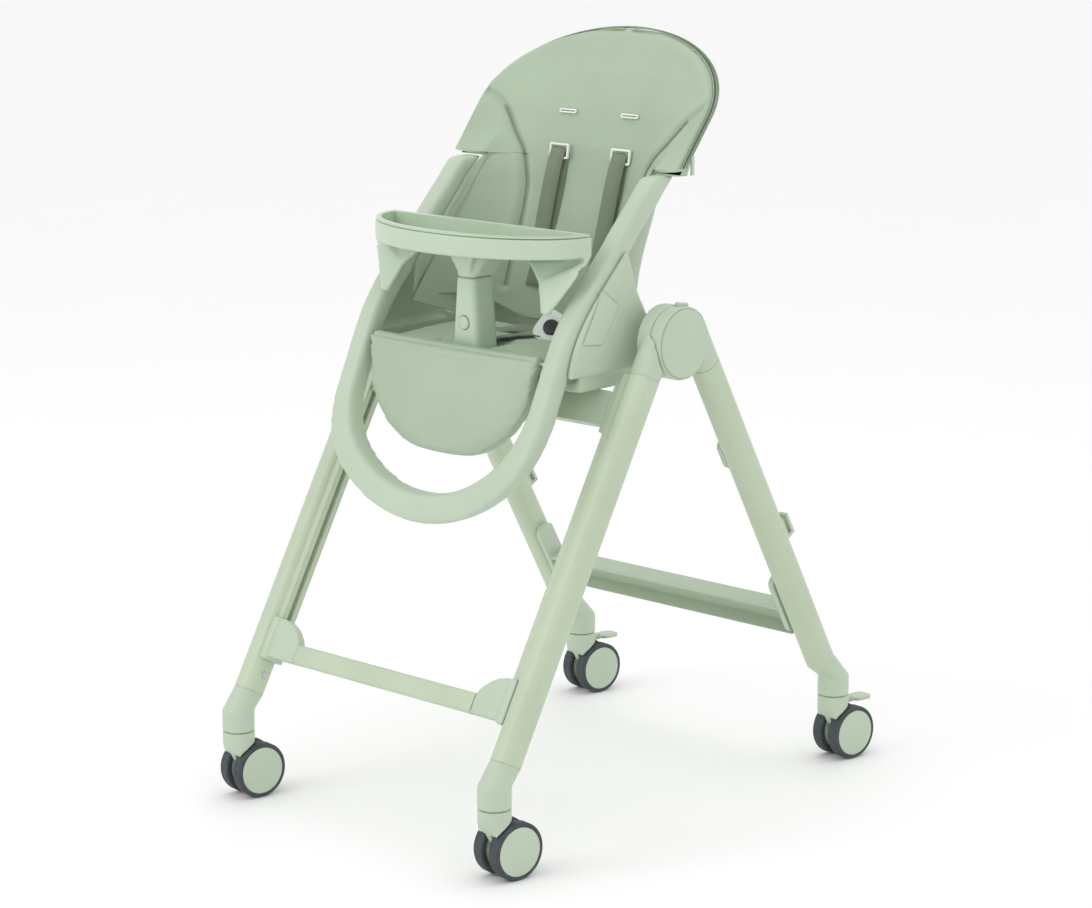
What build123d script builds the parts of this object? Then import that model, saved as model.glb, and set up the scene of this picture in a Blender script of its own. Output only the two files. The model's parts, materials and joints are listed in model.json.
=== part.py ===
from build123d import *

import os
from math import asin, cos, pi, radians, sin, tan

os.makedirs("parts", exist_ok=True)

# A folding baby high chair. Millimetres, +Z up, floor at Z = 0, front towards -Y, X = 0 its middle.
# The frame stands on four twin-wheel casters, and the seat slides on the front legs.
# Pieces that come in pairs are made for the right side (+X) and mirrored.

# ==== Driving dimensions ====================================================================

# Frame
TRACK = 500.0            # between the left and right caster swivel axes
HUB_Y = -38.0            # fold axis
HUB_Z = 666.0
RAKE = 29.6              # lean of both leg pairs from vertical, degrees
TUBE_WIDE = 36.0         # leg tube, across the chair
TUBE_DEEP = 41.0         # leg tube, fore and aft
TUBE_CORNER = 15.0
TUBE_WALL = 1.8
LEG_TOP = 66.0           # tube's upper end, below the hub along the leg
LEG_BOTTOM = 609.0       # tube's lower end, below the hub along the leg
REAR_OFFSET = 38.0       # rear tube's centreline behind the fold axis
SPIGOT = 30.0            # how far a moulded socket reaches into its tube
SPIGOT_GAP = 0.2
SCREW_DROP = 582.0
SCREW_R = 4.0
SCREW_PROUD = 1.7

# Slide rail on the inner face of each front leg
RAIL_WIDE = 8.0
RAIL_DEEP = 26.0
RAIL_BOTTOM = 500.0      # rail's lower end, below the hub along the leg
SLOT_WIDE = 8.0
SLOT_DEEP = 7.5
SHOE_GAP = 0.5
SHOE_LONG = 68.0

# Fold hubs
DRUM_R = 50.0
DRUM_INNER = 228.0       # inner face of the hub, from the middle of the chair
DRUM_OUTER = 270.0
DRUM_SPLIT = 249.8       # where the rear half starts
DRUM_GAP = 0.4
CAP_R = 46.5
CAP_DEEP = 3.0
CAP_PROUD = 2.0
AXLE_R = 8.0
RUNNING = 0.05           # radial clearance of every shaft that turns
FACE_GAP = 0.3           # between faces of bodies that move past each other
SOCKET_ROUND = 12.0
BUTTON_LONG = 22.0
BUTTON_WIDE = 11.0
BUTTON_PROUD = 4.0
BUTTON_DEEP = 8.0
BUTTON_TRAVEL = 3.0
BUTTON_TILT = 8.0        # the button sits slightly behind the top of the hub, degrees

# Feet and casters
FRONT_BEND_Z = 115.0     # where each leg's centreline crosses its swivel axis
REAR_BEND_Z = 99.0
FOOT_R = 22.5
FOOT_BOTTOM = 97.8
FOOT_TOP = 127.0
CASTER_TOP = 97.2
STEM_R = 5.5
STEM_LONG = 28.0
WHEEL_R = 39.2
WHEEL_WIDE = 18.0
WHEEL_GAP = 14.0         # between the two wheels of one caster
RIM_R = 31.0
WHEEL_CAP_R = 33.0
WHEEL_CAP_THICK = 2.5
RIM_RING_R = 27.0
CASTER_TRAIL = 22.4
CASTER_YAW = -8.0        # how far the casters are turned at rest, degrees
WHEEL_AXLE_R = 4.0
WEB_WIDE = 11.0
WEB_BOSS_R = 11.0
TREAD_ROUND = 3.0
BRAKE_PIN_R = 2.5
BRAKE_PIN_REACH = 29.0   # behind the swivel axis
BRAKE_PIN_Z = 85.5
BRAKE_TAB_END = 69.0     # behind the swivel axis
BRAKE_TAB_WIDE = 27.0
BRAKE_TAB_THICK = 4.0
BRAKE_EAR_THICK = 4.0

# Crossbars
CROSSBAR_DROP = 544.0    # front crossbar, below the hub along the leg
CROSSBAR_TALL = 28.0
CROSSBAR_THICK = 15.0
CROSSBAR_LEAD = 8.0      # the bar's middle ahead of the tube's centreline
BRACKET_INNER = 172.0
BRACKET_TALL = 62.0
BRACKET_WRAP = 4.0
BRACKET_WALL = 2.5
REAR_BAR_DROP = 526.0
REAR_BAR_TALL = 48.0
REAR_BAR_DEEP = 26.0
REAR_BAR_WALL = 3.0
GUSSET_LONG = 100.0
GUSSET_DEEP = 30.0
GUSSET_THICK = 9.0

# Fittings on the rear legs
HOOK_DROP = 377.0
HOOK_WIDE = 14.0
HOOK_TALL = 34.0
HOOK_SLOT = 7.0
HOOK_THICK = 5.0
CATCH_DROP = 225.0
CATCH_LONG = 46.0
CATCH_DEEP = 26.0
CATCH_THICK = 10.0

# Seat carriage and seat tub
BEAM_DROP = 116.0
BEAM_TALL = 48.0
BEAM_THICK = 16.0
BEAM_HALF = 212.0
RISER_X = 80.0
RISER_WIDE = 36.0
HIP_THICK = 8.0
PAN_BOTTOM = 606.0
PAN_THICK = 14.0
PAN_WALL = 8.0
PAN_RIM = 650.0
PAN_FRONT = -165.0
PAN_TONGUE = -182.0       # the floor reaches further forward between the hoop's arms
PAN_TONGUE_HALF = 155.0
PAN_BACK = -2.0
PAN_ROUND = 10.0
EAR_BACK = 26.0
SEAT_PAD_HALF = 155.0
SEAT_PAD_FRONT = -176.0
SEAT_PAD_BACK = -16.0
SEAT_PAD_TOP = 648.0

# Hoop
HOOP_HALF = 197.0
HOOP_WIDE = 32.0         # band at the arms, seen from the front
HOOP_FOOT_WIDE = 40.0    # band at the bottom
HOOP_DEEP = 30.0
HOOP_BOTTOM = 419.0
HOOP_SWEEP_R = 235.0     # outer radius of the bottom arc
HOOP_TURN_X = 150.0      # where the bottom arc passes into the corner arc
HOOP_INNER_TURN_X = 125.0
HOOP_SIDE = ((-270, 395), (-269, 440), (-255, 500), (-210, 605), (-171, 684), (-112, 753),
             (-29, 842), (35, 908))   # (y, z) of the band's middle, from the side

# Backrest
RECLINE_Y = 8.0
RECLINE_Z = 640.0
ARM_R = 240.0            # the arms end on this radius about the recline axis
SPLIT_GAP = 1.0
BUCKET_HALF = 160.0
HEAD_HALF = 207.0
SHELL_THICK = 4.0
PAD_THICK = 20.0
HEAD_CENTRE_Z = 955.0
HEAD_RISE = 104.0
BUCKET_POWER = 3.0       # how square the bucket is in plan: 2 is an ellipse
BACK_SECTIONS = ((632, -128, 54), (690, -130, 64), (740, -124, 74), (790, -79, 84), (842, -30, 94),
                 (900, 14, 103), (950, 52, 118), (1000, 92, 138), (1062, 142, 172))   # z, front, rear
WING_BOTTOM = ((-200, 600), (-200, 712), (-133, 690), (-39, 660), (-8, 652), (12, 632), (12, 600))
RECLINE_PIN_R = 6.0
BOSS_R = 14.0
EAR_GAP = 1.0
HOUSING_Z = 905.0
HOUSING_WIDE = 104.0
HOUSING_TALL = 56.0
HOUSING_BACK = 136.0
HANDLE_WIDE = 84.0
HANDLE_TALL = 22.0
HANDLE_TRAVEL = 10.0
HANDLE_GAP = 0.5

# Harness
HARNESS_X = 58.0
STRAP_WIDE = 28.0
STRAP_THICK = 3.0
RING_Z = 945.0
RING_LONG = 32.0
RING_TALL = 6.0
ADJUSTER_Z = 890.0
ADJUSTER_WIDE = 36.0
ADJUSTER_TALL = 22.0
ADJUSTER_BAR = 3.0
BUCKLE_X = 75.0
BUCKLE_Y = -88.0
BUCKLE_WIDE = 46.0
BUCKLE_LONG = 52.0
BUCKLE_THICK = 13.0
BUCKLE_BUTTON_R = 11.0
BUCKLE_TRAVEL = 1.5

# Leg rest
LEGREST_Y = -197.0
LEGREST_Z = 645.0
LEGREST_ROLL_R = 12.0
CALF_HALF = 158.0
CALF_LEAN = 10.5
CALF_LONG = 143.0        # below the hinge
CALF_THICK = 20.0
CALF_TURN = 60.0
PANEL_THICK = 6.0
PANEL_INSET = 16.0
LEGREST_PIN_R = 4.0

# Tray and its post
TRAY_Z = 783.0           # underside of the rim
TRAY_RIM = 28.0
TRAY_HALF = 200.0
TRAY_REACH = 137.0
TRAY_BACK_Y = -149.0
TRAY_FLOOR = 5.0
TRAY_WALL = 11.0
INSERT_GAP = 0.5
INSERT_WALL = 3.0
INSERT_LIP = 3.0
FIN_THICK = 8.0
FIN_LEAN = 20.0
FIN_OUTLINE = ((200, 4), (200, -8), (158, -80), (146, -80), (128, -38), (104, -15), (60, 0), (60, 4))
POST_Y = -161.0
POST_DEEP = 44.0
POST_FOOT_WIDE = 54.0
POST_HEAD_WIDE = 34.0
POST_SEAM_Z = 743.0
POST_ROUND = 9.0
TENON_WIDE = 18.0
TENON_DEEP = 26.0
TENON_TALL = 20.0
STUB_WIDE = 74.0
STUB_DEEP = 62.0
POST_BUTTON_Z = 681.0
POST_BUTTON_R = 9.0
POST_BUTTON_TRAVEL = 2.0

# Height triggers on the hips and the zip pull on the backrest
TRIGGER_OUTLINE = ((-128, 740), (-168, 672), (-128, 668), (-96, 716))
TRIGGER_DEEP = 4.5
TRIGGER_THICK = 4.0
TRIGGER_TRAVEL = 2.0
ZIP_Y = 46.0
ZIP_Z = 905.0
ZIP_LONG = 26.0
ZIP_WIDE = 6.0
ZIP_THICK = 2.0

# ==== Derived places ========================================================================

HALF_TRACK = TRACK / 2
FRONT_OFFSET = DRUM_R - TUBE_DEEP / 2
TUBE_INNER = HALF_TRACK - TUBE_WIDE / 2
RAIL_FACE = TUBE_INNER - RAIL_WIDE
HIP_FACE = HOOP_HALF + HIP_THICK
RAKE_SIN = sin(radians(RAKE))
RAKE_COS = cos(radians(RAKE))
SPLIT_R = ARM_R + SPLIT_GAP

# In a leg plane local X is the chair's X, local Y runs rearward across the leg, local Z up along it.
FRONT_UP = (0, RAKE_SIN, RAKE_COS)
REAR_UP = (0, -RAKE_SIN, RAKE_COS)
FRONT_LEG = Plane(origin=(0, HUB_Y, HUB_Z), x_dir=(1, 0, 0), z_dir=FRONT_UP)
REAR_LEG = Plane(origin=(0, HUB_Y, HUB_Z), x_dir=(1, 0, 0), z_dir=REAR_UP)

# In a leg face plane local X is the chair's X, local Y runs up the leg, local Z forward from it.
FRONT_FACE = Plane(origin=(0, HUB_Y, HUB_Z), x_dir=(1, 0, 0), z_dir=(0, -RAKE_COS, RAKE_SIN))


def on_front(across, along):
    """(y, z) of a point given across the front leg (rearward) and up along it from the hub."""
    return (HUB_Y + across * RAKE_COS + along * RAKE_SIN, HUB_Z - across * RAKE_SIN + along * RAKE_COS)


def on_rear(across, along):
    """(y, z) of a point given across the rear leg (rearward) and up along it from the hub."""
    return (HUB_Y + across * RAKE_COS - along * RAKE_SIN, HUB_Z + across * RAKE_SIN + along * RAKE_COS)


def leg_line_y(offset, lean, z):
    """Y of a leg's centreline at height z; offset is ahead of (-) or behind (+) the fold axis."""
    return HUB_Y + offset / RAKE_COS + lean * (HUB_Z - z) * tan(radians(RAKE))


FRONT_FOOT_Y = leg_line_y(-FRONT_OFFSET, -1, FRONT_BEND_Z)
REAR_FOOT_Y = leg_line_y(REAR_OFFSET, 1, REAR_BEND_Z)


def cross_plane(x):
    """The plane normal to X at x, whose local X is the chair's Y and local Y its Z."""
    return Plane(origin=(x, 0, 0), x_dir=(0, 1, 0), z_dir=(1, 0, 0))


def front_plane(y):
    """The plane normal to Y at y, facing forward, whose local X is the chair's X and local Y its Z."""
    return Plane(origin=(0, y, 0), x_dir=(1, 0, 0), z_dir=(0, -1, 0))


def drum(x_low, x_high, radius, y=HUB_Y, z=HUB_Z):
    """A cylinder along X between two X positions."""
    with BuildPart() as made:
        with BuildSketch(cross_plane(x_low)):
            with Locations((y, z)):
                Circle(radius)
        extrude(amount=x_high - x_low)
    return made.part


def side_block(points, x_low, x_high):
    """A slab between two X positions whose side outline is a polygon of (y, z) points."""
    with BuildPart() as made:
        with BuildSketch(cross_plane(x_low)):
            with BuildLine():
                Polyline(*points, close=True)
            make_face()
        extrude(amount=x_high - x_low)
    return made.part


def block(x_range, y_range, z_range, corner=0.0):
    """An upright box between limits, with its vertical edges rounded."""
    wide = x_range[1] - x_range[0]
    deep = y_range[1] - y_range[0]
    with BuildPart() as made:
        with BuildSketch(Plane.XY.offset(z_range[0])):
            with Locations((sum(x_range) / 2, sum(y_range) / 2)):
                if corner:
                    RectangleRounded(wide, deep, corner)
                else:
                    Rectangle(wide, deep)
        extrude(amount=z_range[1] - z_range[0])
    return made.part


def mirrored(piece):
    return mirror(piece, about=Plane.YZ)


def write(piece, name):
    piece.label = name
    export_step(piece, f"parts/{name}.step")


def write_pair(piece, name):
    """One node for each side."""
    write(piece, f"{name}_right")
    write(mirrored(piece), f"{name}_left")


def write_group(pieces, name):
    """Separate solids that share one node."""
    solids = [solid for piece in pieces for solid in piece.solids()]
    write(Compound(children=solids), name)


def write_both(piece, name):
    """Both sides as separate solids of one node."""
    write_group([piece, mirrored(piece)], name)


# ==== Leg tubes =============================================================================


def tube_bar(plane, offset, low, high, inset=0.0):
    """A solid bar with the leg tube's outline, made smaller all round by inset."""
    with BuildPart() as bar:
        with BuildSketch(plane.offset(low)):
            with Locations((HALF_TRACK, offset)):
                RectangleRounded(TUBE_WIDE - 2 * inset, TUBE_DEEP - 2 * inset, TUBE_CORNER - inset)
        extrude(amount=high - low)
    return bar.part


with BuildPart() as front_leg:
    add(tube_bar(FRONT_LEG, -FRONT_OFFSET, -LEG_BOTTOM, -LEG_TOP))
    with BuildSketch(FRONT_LEG.offset(-RAIL_BOTTOM)):
        with Locations((RAIL_FACE + RAIL_WIDE, -FRONT_OFFSET)):
            Rectangle(2 * RAIL_WIDE, RAIL_DEEP)
        with Locations((RAIL_FACE + SLOT_DEEP / 2, -FRONT_OFFSET)):
            Rectangle(SLOT_DEEP, SLOT_WIDE, mode=Mode.SUBTRACT)
    extrude(amount=RAIL_BOTTOM - LEG_TOP)
    add(tube_bar(FRONT_LEG, -FRONT_OFFSET, -LEG_BOTTOM, -LEG_TOP, TUBE_WALL), mode=Mode.SUBTRACT)
write_pair(front_leg.part, "front_leg")

with BuildPart() as rear_leg:
    add(tube_bar(REAR_LEG, REAR_OFFSET, -LEG_BOTTOM, -LEG_TOP))
    add(tube_bar(REAR_LEG, REAR_OFFSET, -LEG_BOTTOM, -LEG_TOP, TUBE_WALL), mode=Mode.SUBTRACT)
write_pair(rear_leg.part, "rear_leg")

# ==== Fold hubs =============================================================================


def leg_socket(plane, up, offset, drum_low, drum_high, cut_low, cut_high):
    """Half of a hub with the socket that holds its leg, cut back round the other half."""
    with BuildPart() as socket:
        add(tube_bar(plane, offset, -LEG_TOP, 0))
        top_face = socket.faces().sort_by(Axis((0, HUB_Y, HUB_Z), up))[-1]
        fillet(top_face.edges(), SOCKET_ROUND)
        add(drum(cut_low, cut_high, DRUM_R + FACE_GAP), mode=Mode.SUBTRACT)
        add(drum(drum_low, drum_high, DRUM_R))
        add(tube_bar(plane, offset, -LEG_TOP - SPIGOT, -LEG_TOP, TUBE_WALL + SPIGOT_GAP))
    return socket.part


front_half_end = DRUM_SPLIT - DRUM_GAP
with BuildPart() as front_hub_socket:
    add(leg_socket(FRONT_LEG, FRONT_UP, -FRONT_OFFSET, DRUM_INNER, front_half_end,
                   front_half_end, DRUM_OUTER + CAP_PROUD))
    add(drum(DRUM_INNER, front_half_end, AXLE_R), mode=Mode.SUBTRACT)
write_pair(front_hub_socket.part, "front_hub_socket")

# Local Z points out of the hub along the fold button's travel.
BUTTON_AXIS = (0, sin(radians(BUTTON_TILT)), cos(radians(BUTTON_TILT)))
BUTTON_PLANE = Plane(origin=(0, HUB_Y, HUB_Z), x_dir=(1, 0, 0), z_dir=BUTTON_AXIS)
CAP_SEAT = DRUM_OUTER - CAP_DEEP
BUTTON_X = (DRUM_SPLIT + CAP_SEAT) / 2


def fold_button_bar(low, high, gap=0.0):
    """The fold button's oblong outline between two radii of the hub."""
    with BuildPart() as bar:
        with BuildSketch(BUTTON_PLANE.offset(low)):
            with Locations((BUTTON_X, 0)):
                SlotOverall(BUTTON_LONG + 2 * gap, BUTTON_WIDE + 2 * gap, rotation=90)
        extrude(amount=high - low)
    return bar.part


BUTTON_FOOT = DRUM_R - BUTTON_DEEP
with BuildPart() as rear_hub_socket:
    add(leg_socket(REAR_LEG, REAR_UP, REAR_OFFSET, DRUM_SPLIT, DRUM_OUTER,
                   DRUM_INNER, DRUM_SPLIT))
    add(drum(DRUM_SPLIT, CAP_SEAT, AXLE_R + RUNNING), mode=Mode.SUBTRACT)
    add(drum(CAP_SEAT, DRUM_OUTER, CAP_R + FACE_GAP), mode=Mode.SUBTRACT)
    add(fold_button_bar(BUTTON_FOOT - BUTTON_TRAVEL - FACE_GAP, DRUM_R + BUTTON_PROUD, FACE_GAP),
        mode=Mode.SUBTRACT)
write_pair(rear_hub_socket.part, "rear_hub_socket")

with BuildPart() as fold_button:
    add(fold_button_bar(BUTTON_FOOT, DRUM_R + BUTTON_PROUD))
    crown = fold_button.faces().sort_by(Axis((0, HUB_Y, HUB_Z), BUTTON_AXIS))[-1]
    fillet(crown.edges(), BUTTON_PROUD / 2)
write_pair(fold_button.part, "fold_button")

with BuildPart() as hub_cap:
    add(drum(CAP_SEAT, DRUM_OUTER + CAP_PROUD, CAP_R))
    fillet(hub_cap.faces().sort_by(Axis.X)[-1].edges(), CAP_PROUD * 0.9)
write_both(hub_cap.part, "hub_caps")

write_both(drum(DRUM_INNER, CAP_SEAT - CAP_PROUD, AXLE_R), "hub_axles")

# ==== Feet ==================================================================================


def foot_socket(plane, offset, foot_y):
    """The bent foot between a leg tube and the caster's swivel, with the stem's bore."""
    with BuildPart() as foot:
        with BuildSketch(plane.offset(-LEG_BOTTOM)):
            with Locations((HALF_TRACK, offset)):
                RectangleRounded(TUBE_WIDE, TUBE_DEEP, TUBE_CORNER)
        with BuildSketch(Plane.XY.offset(FOOT_TOP)):
            with Locations((HALF_TRACK, foot_y)):
                RectangleRounded(2 * FOOT_R, 2 * FOOT_R, FOOT_R - 0.5)
        loft()
        with BuildSketch(Plane.XY.offset(FOOT_BOTTOM)):
            with Locations((HALF_TRACK, foot_y)):
                RectangleRounded(2 * FOOT_R, 2 * FOOT_R, FOOT_R - 0.5)
        extrude(amount=FOOT_TOP - FOOT_BOTTOM)
        add(tube_bar(plane, offset, -LEG_BOTTOM, SPIGOT - LEG_BOTTOM, TUBE_WALL + SPIGOT_GAP))
        with BuildSketch(Plane.XY.offset(FOOT_BOTTOM)):
            with Locations((HALF_TRACK, foot_y)):
                Circle(STEM_R + RUNNING)
        extrude(amount=STEM_LONG + 1, mode=Mode.SUBTRACT)
    return foot.part


write_both(foot_socket(FRONT_LEG, -FRONT_OFFSET, FRONT_FOOT_Y), "front_foot_sockets")
write_both(foot_socket(REAR_LEG, REAR_OFFSET, REAR_FOOT_Y), "rear_foot_sockets")

screw_y, screw_z = on_front(-FRONT_OFFSET, -SCREW_DROP)
with BuildPart() as frame_screw:
    add(drum(TUBE_INNER - SCREW_PROUD, TUBE_INNER, SCREW_R, screw_y, screw_z))
    chamfer(frame_screw.faces().sort_by(Axis.X)[0].edges(), SCREW_PROUD / 3)
write_both(frame_screw.part, "frame_screws")

# ==== Crossbars =============================================================================

bar_across = -FRONT_OFFSET - CROSSBAR_LEAD
with BuildPart() as front_crossbar:
    with BuildSketch(cross_plane(-BRACKET_INNER)):
        with Locations(on_front(bar_across, -CROSSBAR_DROP)):
            RectangleRounded(CROSSBAR_THICK, CROSSBAR_TALL, CROSSBAR_THICK / 4, rotation=-RAKE)
    extrude(amount=2 * BRACKET_INNER)
write(front_crossbar.part, "front_crossbar")

bracket_top = -RAIL_BOTTOM
bracket_foot = bracket_top - BRACKET_TALL
bar_top = CROSSBAR_TALL / 2 - CROSSBAR_DROP
bar_foot = -CROSSBAR_TALL / 2 - CROSSBAR_DROP
sleeve_half = TUBE_DEEP / 2 - BRACKET_WRAP + BRACKET_WALL
with BuildPart() as crossbar_bracket:
    with BuildSketch(FRONT_FACE.offset(-bar_across - CROSSBAR_THICK / 2)):
        with BuildLine():
            Polyline((BRACKET_INNER, bar_top), (BRACKET_INNER, bar_foot), (TUBE_INNER, bar_foot),
                     (TUBE_INNER, bracket_top), (RAIL_FACE, bracket_top))
            RadiusArc((RAIL_FACE, bracket_top), (BRACKET_INNER, bar_top),
                      -1.1 * (RAIL_FACE - BRACKET_INNER))
        make_face()
    extrude(amount=CROSSBAR_THICK)
    with BuildSketch(FRONT_FACE.offset(FRONT_OFFSET - sleeve_half)):
        with Locations((RAIL_FACE, bracket_top)):
            Rectangle(TUBE_INNER + BRACKET_WRAP - RAIL_FACE, BRACKET_TALL, align=(Align.MIN, Align.MAX))
    extrude(amount=2 * sleeve_half)
    add(tube_bar(FRONT_LEG, -FRONT_OFFSET, bracket_foot - 1, bracket_top + 1), mode=Mode.SUBTRACT)
write_both(crossbar_bracket.part, "crossbar_brackets")

rear_bar_front = REAR_OFFSET - TUBE_DEEP / 2 + REAR_BAR_WALL
with BuildPart() as rear_crossbar:
    with BuildSketch(cross_plane(-TUBE_INNER)):
        with Locations(on_rear(rear_bar_front + REAR_BAR_DEEP / 2, -REAR_BAR_DROP)):
            RectangleRounded(REAR_BAR_DEEP, REAR_BAR_TALL, REAR_BAR_WALL, rotation=RAKE)
        with Locations(on_rear(rear_bar_front + REAR_BAR_DEEP / 2 - REAR_BAR_WALL, -REAR_BAR_DROP)):
            Rectangle(REAR_BAR_DEEP, REAR_BAR_TALL - 2 * REAR_BAR_WALL, rotation=RAKE,
                      mode=Mode.SUBTRACT)
    extrude(amount=2 * TUBE_INNER)
    gusset_along = GUSSET_LONG / 2 - REAR_BAR_DROP - REAR_BAR_TALL / 2
    gusset_place = on_rear(rear_bar_front + GUSSET_DEEP / 2, gusset_along)
    for low in (-TUBE_INNER, TUBE_INNER - GUSSET_THICK):
        with BuildSketch(cross_plane(low)):
            with Locations(gusset_place):
                RectangleRounded(GUSSET_DEEP, GUSSET_LONG, GUSSET_DEEP * 0.4, rotation=RAKE)
        extrude(amount=GUSSET_THICK)
write(rear_crossbar.part, "rear_crossbar")

# ==== Fittings on the rear legs =============================================================

hook_root = REAR_OFFSET + TUBE_DEEP / 2
hook_low = -HOOK_DROP - HOOK_TALL / 2
hook_high = hook_low + HOOK_TALL
hook_outline = [on_rear(hook_root + across, along) for across, along in (
    (0, hook_low), (2 * HOOK_THICK + HOOK_SLOT, hook_low), (2 * HOOK_THICK + HOOK_SLOT, hook_high),
    (HOOK_THICK + HOOK_SLOT, hook_high), (HOOK_THICK + HOOK_SLOT, hook_low + HOOK_THICK),
    (HOOK_THICK, hook_low + HOOK_THICK), (HOOK_THICK, hook_high), (0, hook_high))]
write_both(side_block(hook_outline, HALF_TRACK - HOOK_WIDE / 2, HALF_TRACK + HOOK_WIDE / 2),
           "tray_hooks")

with BuildPart() as fold_catch:
    with BuildSketch(cross_plane(TUBE_INNER - CATCH_THICK)):
        with Locations(on_rear(REAR_OFFSET, -CATCH_DROP)):
            RectangleRounded(CATCH_DEEP, CATCH_LONG, CATCH_DEEP * 0.4, rotation=RAKE)
    extrude(amount=CATCH_THICK)
    fillet(fold_catch.faces().sort_by(Axis.X)[0].edges(), CATCH_THICK / 3)
write_both(fold_catch.part, "fold_catches")

# ==== Casters ===============================================================================


def caster_plane(x, y):
    """Vertical plane set: local X lies along the wheel axle, local Y is the trail direction."""
    turn = radians(CASTER_YAW)
    return Plane(origin=(x, y, 0), x_dir=(cos(turn), sin(turn), 0), z_dir=(0, 0, 1))


def axle_plane(base, along_axle):
    """Normal to the axle; local X is the trail direction and local Y is up."""
    origin = base.from_local_coords((along_axle, 0, 0))
    return Plane(origin=origin, x_dir=base.y_dir, z_dir=base.x_dir)


def axle_drum(base, low, high, radius, reach=CASTER_TRAIL, height=WHEEL_R):
    with BuildPart() as made:
        with BuildSketch(axle_plane(base, low)):
            with Locations((reach, height)):
                Circle(radius)
        extrude(amount=high - low)
    return made.part


wheel_inner = WHEEL_GAP / 2
wheel_outer = wheel_inner + WHEEL_WIDE
wheel_clear_r = WHEEL_R + 1.8
hood_outline = ((-FOOT_R, CASTER_TOP), (FOOT_R, CASTER_TOP), (FOOT_R, 60), (-6, 52), (-FOOT_R, 88))
web_outline = ((-12, 78), (FOOT_R - 2, 78), (CASTER_TRAIL + WEB_BOSS_R - 1, WHEEL_R + 3),
               (CASTER_TRAIL - WEB_BOSS_R + 1, WHEEL_R - 3))
ear_inner = BRAKE_TAB_WIDE / 4 + FACE_GAP
ear_outline = ((FOOT_R - 6, BRAKE_PIN_Z + 6), (BRAKE_PIN_REACH + 1, BRAKE_PIN_Z + 6),
               (BRAKE_PIN_REACH + 5, BRAKE_PIN_Z + 2), (BRAKE_PIN_REACH + 5, BRAKE_PIN_Z - 3.5),
               (FOOT_R - 6, BRAKE_PIN_Z - 3.5))


def caster_body(base, braked):
    with BuildPart() as body:
        with BuildSketch(axle_plane(base, -FOOT_R)):
            Polygon(*hood_outline, align=None)
        extrude(amount=2 * FOOT_R)
        with BuildSketch(base.offset(40)):
            Circle(FOOT_R)
        extrude(amount=CASTER_TOP - 40, mode=Mode.INTERSECT)
        for low in (-FOOT_R - 1, WEB_WIDE / 2):
            add(axle_drum(base, low, low + FOOT_R + 1 - WEB_WIDE / 2, wheel_clear_r),
                mode=Mode.SUBTRACT)
        with BuildSketch(axle_plane(base, -WEB_WIDE / 2)):
            Polygon(*web_outline, align=None)
            with Locations((CASTER_TRAIL, WHEEL_R)):
                Circle(WEB_BOSS_R)
        extrude(amount=WEB_WIDE)
        if braked:
            for low in (-ear_inner - BRAKE_EAR_THICK, ear_inner):
                with BuildSketch(axle_plane(base, low)):
                    Polygon(*ear_outline, align=None)
                extrude(amount=BRAKE_EAR_THICK)
            ear_outer = ear_inner + BRAKE_EAR_THICK
            add(axle_drum(base, -ear_outer, ear_outer, BRAKE_PIN_R + RUNNING,
                          BRAKE_PIN_REACH, BRAKE_PIN_Z), mode=Mode.SUBTRACT)
        with BuildSketch(base.offset(CASTER_TOP)):
            Circle(STEM_R)
        extrude(amount=STEM_LONG)
        add(axle_drum(base, -WEB_WIDE, WEB_WIDE, WHEEL_AXLE_R + RUNNING), mode=Mode.SUBTRACT)
    return body.part


def wheel_hubs(base):
    """The axle with a rim, an inner toothed-ring seat and an outer cap on each end."""
    with BuildPart() as hubs:
        add(axle_drum(base, -wheel_outer, wheel_outer, WHEEL_AXLE_R))
        for side in (-1, 1):
            for near, far, radius in (
                    (wheel_inner, wheel_inner + 2, RIM_RING_R),
                    (wheel_inner + 2, wheel_outer - WHEEL_CAP_THICK, RIM_R),
                    (wheel_outer - WHEEL_CAP_THICK, wheel_outer, WHEEL_CAP_R)):
                low, high = sorted((side * near, side * far))
                add(axle_drum(base, low, high, radius))
    return hubs.part


def tyres(base):
    """Both tyres: each grips the rim and stops at the outer cap."""
    made = []
    for side in (-1, 1):
        low, high = sorted((side * wheel_inner, side * wheel_outer))
        with BuildPart() as tyre:
            add(axle_drum(base, low, high, WHEEL_R))
            rims = tyre.edges().filter_by(GeomType.CIRCLE)
            fillet(rims, TREAD_ROUND)
            add(axle_drum(base, low, high, RIM_R), mode=Mode.SUBTRACT)
            cap_low, cap_high = sorted((side * (wheel_outer - WHEEL_CAP_THICK), side * wheel_outer))
            add(axle_drum(base, cap_low, cap_high, WHEEL_CAP_R), mode=Mode.SUBTRACT)
        made.append(tyre.part)
    return made


def brake_lever(base):
    """A foot tab on a tongue that turns on its pin between the caster's ears."""
    tongue_half = ear_inner - FACE_GAP
    tab_start = BRAKE_PIN_REACH + 8
    tab_top = BRAKE_PIN_Z
    with BuildPart() as lever:
        with BuildSketch(axle_plane(base, -tongue_half)):
            with Locations((BRAKE_PIN_REACH, BRAKE_PIN_Z)):
                Circle(BRAKE_PIN_R + 2)
            with Locations((BRAKE_PIN_REACH, tab_top)):
                Rectangle(tab_start + 4 - BRAKE_PIN_REACH, BRAKE_TAB_THICK, align=(Align.MIN, Align.MAX))
        extrude(amount=2 * tongue_half)
        tab = base.offset(tab_top - BRAKE_TAB_THICK)
        with BuildSketch(tab):
            with Locations((0, (tab_start + BRAKE_TAB_END) / 2)):
                RectangleRounded(BRAKE_TAB_WIDE, BRAKE_TAB_END - tab_start, 9)
        extrude(amount=BRAKE_TAB_THICK)
        pin_half = ear_inner + BRAKE_EAR_THICK
        add(axle_drum(base, -pin_half, pin_half, BRAKE_PIN_R, BRAKE_PIN_REACH, BRAKE_PIN_Z))
    return lever.part


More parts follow.
